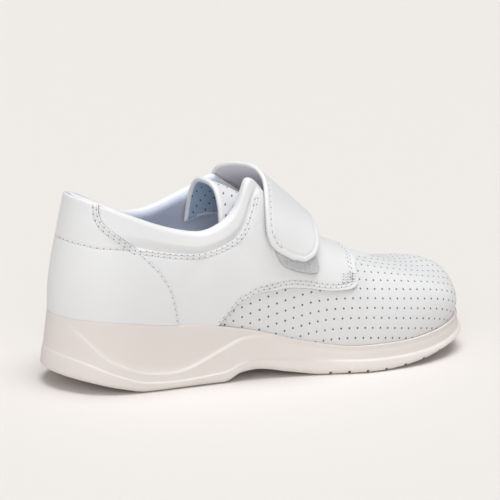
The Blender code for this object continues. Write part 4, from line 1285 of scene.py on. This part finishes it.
def inward_rows(ring, height, steps):
    """Rows from a ring in to the middle line, each point moving towards its partner across."""
    partner = np.roll(ring[::-1], 1, axis=0)
    middle = (ring + partner) / 2
    share = (np.arange(1, steps + 1) / steps)[:, None, None]
    rows = ring + (middle - ring) * share
    rows[..., 2] = height(rows[..., 1])
    return rows


ROWS = side_rows()
LOW, HIGH = ROWS.reshape(-1, 3).min(axis=0), ROWS.reshape(-1, 3).max(axis=0)
MIDDLE = (LOW + HIGH) / 2 * np.array([1, 1, 0])


def groove_cutter(along, width, bow):
    """One tread groove's bar across the sole, whose ends bow back by bow."""
    reach = np.linspace(-1, 1, 13)
    across = reach * GROOVE_REACH * width
    path = (along - 0.5) * LENGTH - bow * reach**2
    z = sole_bottom(path)
    corners = [
        np.column_stack([across, path + side * TREAD_WIDTH / 2, z + up * TREAD_DEPTH])
        for side, up in ((-1, -2), (1, -2), (0.8, 1), (-0.8, 1))
    ]
    points = np.array(corners).transpose(1, 0, 2)
    faces = grid_faces(len(reach), 4, False, True)
    ends = np.array([[3, 2, 1, 0], [0, 1, 2, 3]]) + np.array([[0], [len(points) * 4 - 4]])
    mesh = bpy.data.meshes.new("groove")
    place = points.reshape(-1, 3) - MIDDLE
    mesh.from_pydata(place.tolist(), [], np.concatenate([faces, ends]).tolist())
    return linked("groove", mesh)


def build_sole(finish):
    """The moulded unit: lip, bowl panel and rib on the side, cut grooves below."""
    rows = len(ROWS)
    fine = eased(np.linspace(0, rows - 1, (rows - 1) * 5 + 1), np.arange(rows), ROWS)
    seat_rows = inward_rows(fine[0], seat, SEAT_STEPS)
    under_rows = inward_rows(fine[-1], sole_bottom, UNDERSIDE_STEPS)
    points = np.concatenate([seat_rows[::-1], fine, under_rows])
    faces = grid_faces(len(points), len(RING), False, True)[:, ::-1]
    piece = add_piece("sole_unit", points, [faces], [finish])
    weld(piece)
    forefoot = [(along, BALL_WIDTH, FOREFOOT_BOW) for along in FOREFOOT_GROOVES]
    heel = [(along, HEEL_TREAD_WIDTH, HEEL_BOW) for along in HEEL_GROOVES]
    cutters = [groove_cutter(*groove) for groove in forefoot + heel]
    for cutter in cutters:
        cut = piece.modifiers.new(cutter.name, "BOOLEAN")
        cut.operation = "DIFFERENCE"
        cut.solver = "EXACT"
        cut.object = cutter
    settle(piece, cutters)
    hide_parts("sole")


def weld(piece):
    """Joins the points that meet on the middle line."""
    piece.modifiers.new("weld", "WELD").merge_threshold = WELD_REACH


def settle(piece, helpers=()):
    """Makes the piece's modifiers part of its mesh, and removes the helpers."""
    graph = bpy.context.evaluated_depsgraph_get()
    made = bpy.data.meshes.new_from_object(piece.evaluated_get(graph))
    piece.modifiers.clear()
    piece.data = made
    made.shade_smooth()
    made.set_sharp_from_angle(angle=SHARP_ANGLE)
    for helper in helpers:
        bpy.data.objects.remove(helper, do_unlink=True)


def build_insole(cloth):
    """The sock on the seat, slightly dished, clear of the lining all round."""
    foot = outline(RING) - outward(RING) * (FEATHER_INSET + 2 * FIT_GAP + WALL)

    def level(place, rise):
        return np.column_stack([place, seat(place[:, 1]) + FIT_GAP + rise])

    rim = level(foot * SOCK_BRINK, INSOLE_THICKNESS)
    brow = level(foot, INSOLE_THICKNESS - SOCK_EDGE)
    low = level(foot, 0)
    top = inward_rows(rim, lambda y: seat(y) + FIT_GAP + INSOLE_THICKNESS, 12)
    under = inward_rows(low, lambda y: seat(y) + FIT_GAP, 4)
    points = np.concatenate([top[::-1], [rim, brow, low], under])
    faces = grid_faces(len(points), len(RING), False, True)[:, ::-1]
    piece = add_piece("insole_sock", points, [faces], [cloth])
    weld(piece)
    settle(piece)
    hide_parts("insole")


def stations(line, normals, pitch, start=0.5):
    """Places every pitch along a line, with the directions ahead, out of the leather and across."""
    run = travelled(line)
    at = np.arange(start * pitch, run[-1], pitch)
    ahead, behind = between(at + 0.0004, run, line), between(at - 0.0004, run, line)
    ahead, out = unit(ahead - behind), unit(between(at, run, normals))
    return between(at, run, line), ahead, out, np.cross(out, ahead)


def beside(line, normals, offset):
    """The line moved sideways over the surface."""
    direction = unit(np.gradient(line, axis=0))
    return line + np.cross(normals, direction) * offset


def round_bodies(place, axis, first, second, rings, sides):
    """Points and faces of one closed round body a place, about an axis square to first and second.

    A row of rings says how far along the axis a ring lies, its radius and its shift to second.
    """
    along, radius, shift = rings.T[..., None]
    turn = (np.arange(sides) * 2 * math.pi / sides)[:, None]
    spot = place[:, None] + axis[:, None] * along + second[:, None] * shift
    ring = first[:, None] * np.cos(turn) + second[:, None] * np.sin(turn)
    points = spot[:, :, None] + ring[:, None] * radius[..., None]
    side = grid_faces(len(rings), sides, False, True)
    caps = np.array([np.arange(sides)[::-1], np.arange(sides) + sides * (len(rings) - 1)])
    start = (np.arange(len(place)) * sides * len(rings))[:, None, None]
    return points.reshape(-1, 3), (side + start).reshape(-1, 4), (caps + start).reshape(-1, sides)


def joined(parts):
    """One array of points and the faces of several parts, renumbered to it."""
    counts = np.cumsum([0] + [len(part[0]) for part in parts[:-1]])
    points = np.concatenate([part[0] for part in parts])
    quads = np.concatenate([part[1] + n for part, n in zip(parts, counts)])
    caps = np.concatenate([part[2] + n for part, n in zip(parts, counts)])
    return points, [quads, caps]


def sewn_rows():
    """Every row of stitches on the panels: its line on the leather and the normals there."""
    counter = [SeamPoint(row.section, row.height) for row in COUNTER]
    rows = []
    for side, turned in ((1, lambda points: points), (-1, mirrored)):
        rows.append(seam_line(turned(HEEL_SEAM), COUNTER_LIFT))
        for seam, inset in ((COLLAR_SEAM, -ROW_GAP), (QUARTER_SEAM, ROW_GAP)):
            line, normals = seam_line(turned(seam), LEATHER_LIFT)
            rows += [(line, normals), (beside(line, normals, side * inset), normals)]
        for points, inset in ((counter, COUNTER_INSET), (counter[6:], COUNTER_INSET + ROW_GAP)):
            line, normals = seam_line(turned(points), COUNTER_LIFT)
            rows.append((beside(line, normals, side * inset), normals))
        for number in range(LOCK_ROWS):
            step = np.multiply(LOCK_STEP, number)
            ends = [SeamPoint(*np.add(end, step)) for end in (LOCK_START, LOCK_END)]
            rows.append(seam_line(turned(ends), LEATHER_LIFT))
    return rows


def build_stitches(thread, dark):
    """All sewn threads as one piece, and all their needle holes, dark discs of painted shade, as
    another.
    """
    sewn, needle = [], []
    for line, normals in SEWN_ROWS + strap_rows():
        line = line - normals * (SEAM_GROOVE - THREAD_BED)
        place, ahead, out, across = stations(line, normals, STITCH_PITCH)
        sewn.append(round_bodies(place, ahead, across, out, THREAD_RINGS, 6))
        place, ahead, out, across = stations(line, normals, STITCH_PITCH, 0)
        needle.append(round_bodies(place, out, ahead, across, NEEDLE_RINGS, 8))
    points, faces = joined(sewn)
    add_piece("seam_threads", points, faces, [thread])
    points, faces = joined(needle)
    add_piece("needle_holes", points, faces, [dark])


def strap_rows():
    """The strap's rows: two inside its rear edge by the free end, and two across its root."""
    top = strap_surface(np.linspace(0, 1, STRAP_COLUMNS), 240)
    width = run_length(top, 1)
    normal = surface_normals(top)
    middle = run_length(top, 0)[:, STRAP_COLUMNS // 2]
    rows = []
    picked = np.where((middle > STRAP_SEAM_FROM) & (middle < STRAP_SEAM_TO))[0]
    for inset in (STRAP_SEAM_INSET, STRAP_SEAM_INSET + ROW_GAP):
        column_at = np.array([np.abs(width[k] - inset).argmin() for k in picked])
        rows.append((top[picked, column_at], normal[picked, column_at]))
        k = np.abs(middle[-1] - middle - inset).argmin()
        rows.append((top[k, 4:-4], normal[k, 4:-4]))
    return rows


def build_camera():
    """The camera at the photograph's place, rolled as it was."""
    back = np.array(
        [
            math.sin(CAMERA_TURN) * math.cos(CAMERA_RISE),
            -math.cos(CAMERA_TURN) * math.cos(CAMERA_RISE),
            math.sin(CAMERA_RISE),
        ]
    )
    level = np.array([math.cos(CAMERA_TURN), math.sin(CAMERA_TURN), 0])
    above = np.cross(back, level)
    right = level * math.cos(CAMERA_ROLL) + above * math.sin(CAMERA_ROLL)
    up = above * math.cos(CAMERA_ROLL) - level * math.sin(CAMERA_ROLL)
    lens = bpy.data.cameras.new("camera")
    lens.sensor_width = SENSOR_WIDTH
    lens.lens = FOCAL_PIXELS / IMAGE_SIDE * SENSOR_WIDTH
    lens.clip_end = 50
    camera = linked("camera", lens)
    place = LOOK_AT - MIDDLE + back * CAMERA_DISTANCE
    turned = Matrix([[right[k], up[k], back[k]] for k in range(3)]).to_4x4()
    camera.matrix_world = Matrix.Translation(Vector(place)) @ turned
    bpy.context.scene.camera = camera


def add_sun(name, strength, width, tilt):
    """A distant soft light: its width on the sky and its tilts about X and Y, in degrees."""
    sun = bpy.data.lights.new(name, "SUN")
    sun.energy = strength
    sun.angle = math.radians(width)
    linked(name, sun).rotation_euler = (math.radians(tilt[0]), math.radians(tilt[1]), 0)


def build_studio():
    """A pale floor, a bright even surround and soft lights from above and behind."""
    mesh = bpy.data.meshes.new("floor")
    corners = [(x * FLOOR_HALF, y * FLOOR_HALF, 0) for x, y in ((-1, -1), (1, -1), (1, 1), (-1, 1))]
    mesh.from_pydata(corners, [], [(0, 1, 2, 3)])
    floor = linked("floor", mesh)
    ground = Finish("pale_floor")
    ground.set(Base_Color=rgb(0.745, 0.716, 0.690), Roughness=0.9, Specular_IOR_Level=0.1)
    mesh.materials.append(ground.material)
    world = bpy.data.worlds.new("surround")
    world.use_nodes = True
    glow = world.node_tree.nodes["Background"]
    glow.inputs["Color"].default_value = rgb(0.97, 0.98, 1.0)
    glow.inputs["Strength"].default_value = 0.22
    bpy.context.scene.world = world
    add_sun("ceiling", 2.55, 42, (0, 4))
    add_sun("window", 1.10, 60, (32, 58))
    bpy.context.scene.view_settings.view_transform = "Standard"


SEWN_ROWS = sewn_rows()
SEAM_LINES = [stations(line, normals, SEAM_SPACING)[0] for line, normals in SEWN_ROWS]
build_camera()
WHITE, GREY = rgb(0.825, 0.828, 0.83), rgb(0.795, 0.80, 0.81)
LEATHER = leather("white_leather", WHITE, GREY)
# A darker copy of the white leather for the punched pieces: painted shade, as the vamp lies in more
# shade.
SHADED_WHITE, SHADED_GREY = rgb(0.780, 0.780, 0.783), rgb(0.750, 0.755, 0.762)
PUNCHED = leather("perforated_leather", SHADED_WHITE, SHADED_GREY, punched=True)
# Dark finish of the cut edges and the collar seam: their own grey, deepened as painted shade.
CUT_EDGE_AND_SHADE = plain("cut_edge_and_painted_shade", rgb(0.34, 0.35, 0.38), 0.8)
# A darker copy of the lining cloth for the tongue's underside: painted shade under the strap.
SHADED_LINING_LIGHT, SHADED_LINING_DARK = rgb(0.40, 0.50, 0.62), rgb(0.34, 0.43, 0.55)
CLOTH = textile("lining_cloth", rgb(0.74, 0.78, 0.88), rgb(0.66, 0.71, 0.83), 0.0009)
SHADED_PUNCHED_CLOTH = textile("punched_lining_painted_shade", SHADED_LINING_LIGHT, SHADED_LINING_DARK, 0.0009, True)
STRAP_LINING = textile("strap_lining", rgb(0.80, 0.78, 0.83), rgb(0.74, 0.72, 0.78), 0.0007)

build_sole(moulded_foam("cream_polyurethane"))
build_upper(PUNCHED, LEATHER, CLOTH, CUT_EDGE_AND_SHADE)
build_insole(CLOTH)
build_quarter([LEATHER, CUT_EDGE_AND_SHADE])
build_counter([LEATHER, CUT_EDGE_AND_SHADE])
build_tongue(PUNCHED, SHADED_PUNCHED_CLOTH, LEATHER)
build_patch(hook_tape("hook_and_loop"))
build_strap(LEATHER, STRAP_LINING)
THREAD = plain("white_thread", rgb(0.76, 0.76, 0.775), 0.6)
# The needle holes are dark discs: painted shade in the small pits of the seams.
build_stitches(THREAD, plain("needle_hole_painted_shade", rgb(0.26, 0.26, 0.29), 0.9))
build_studio()
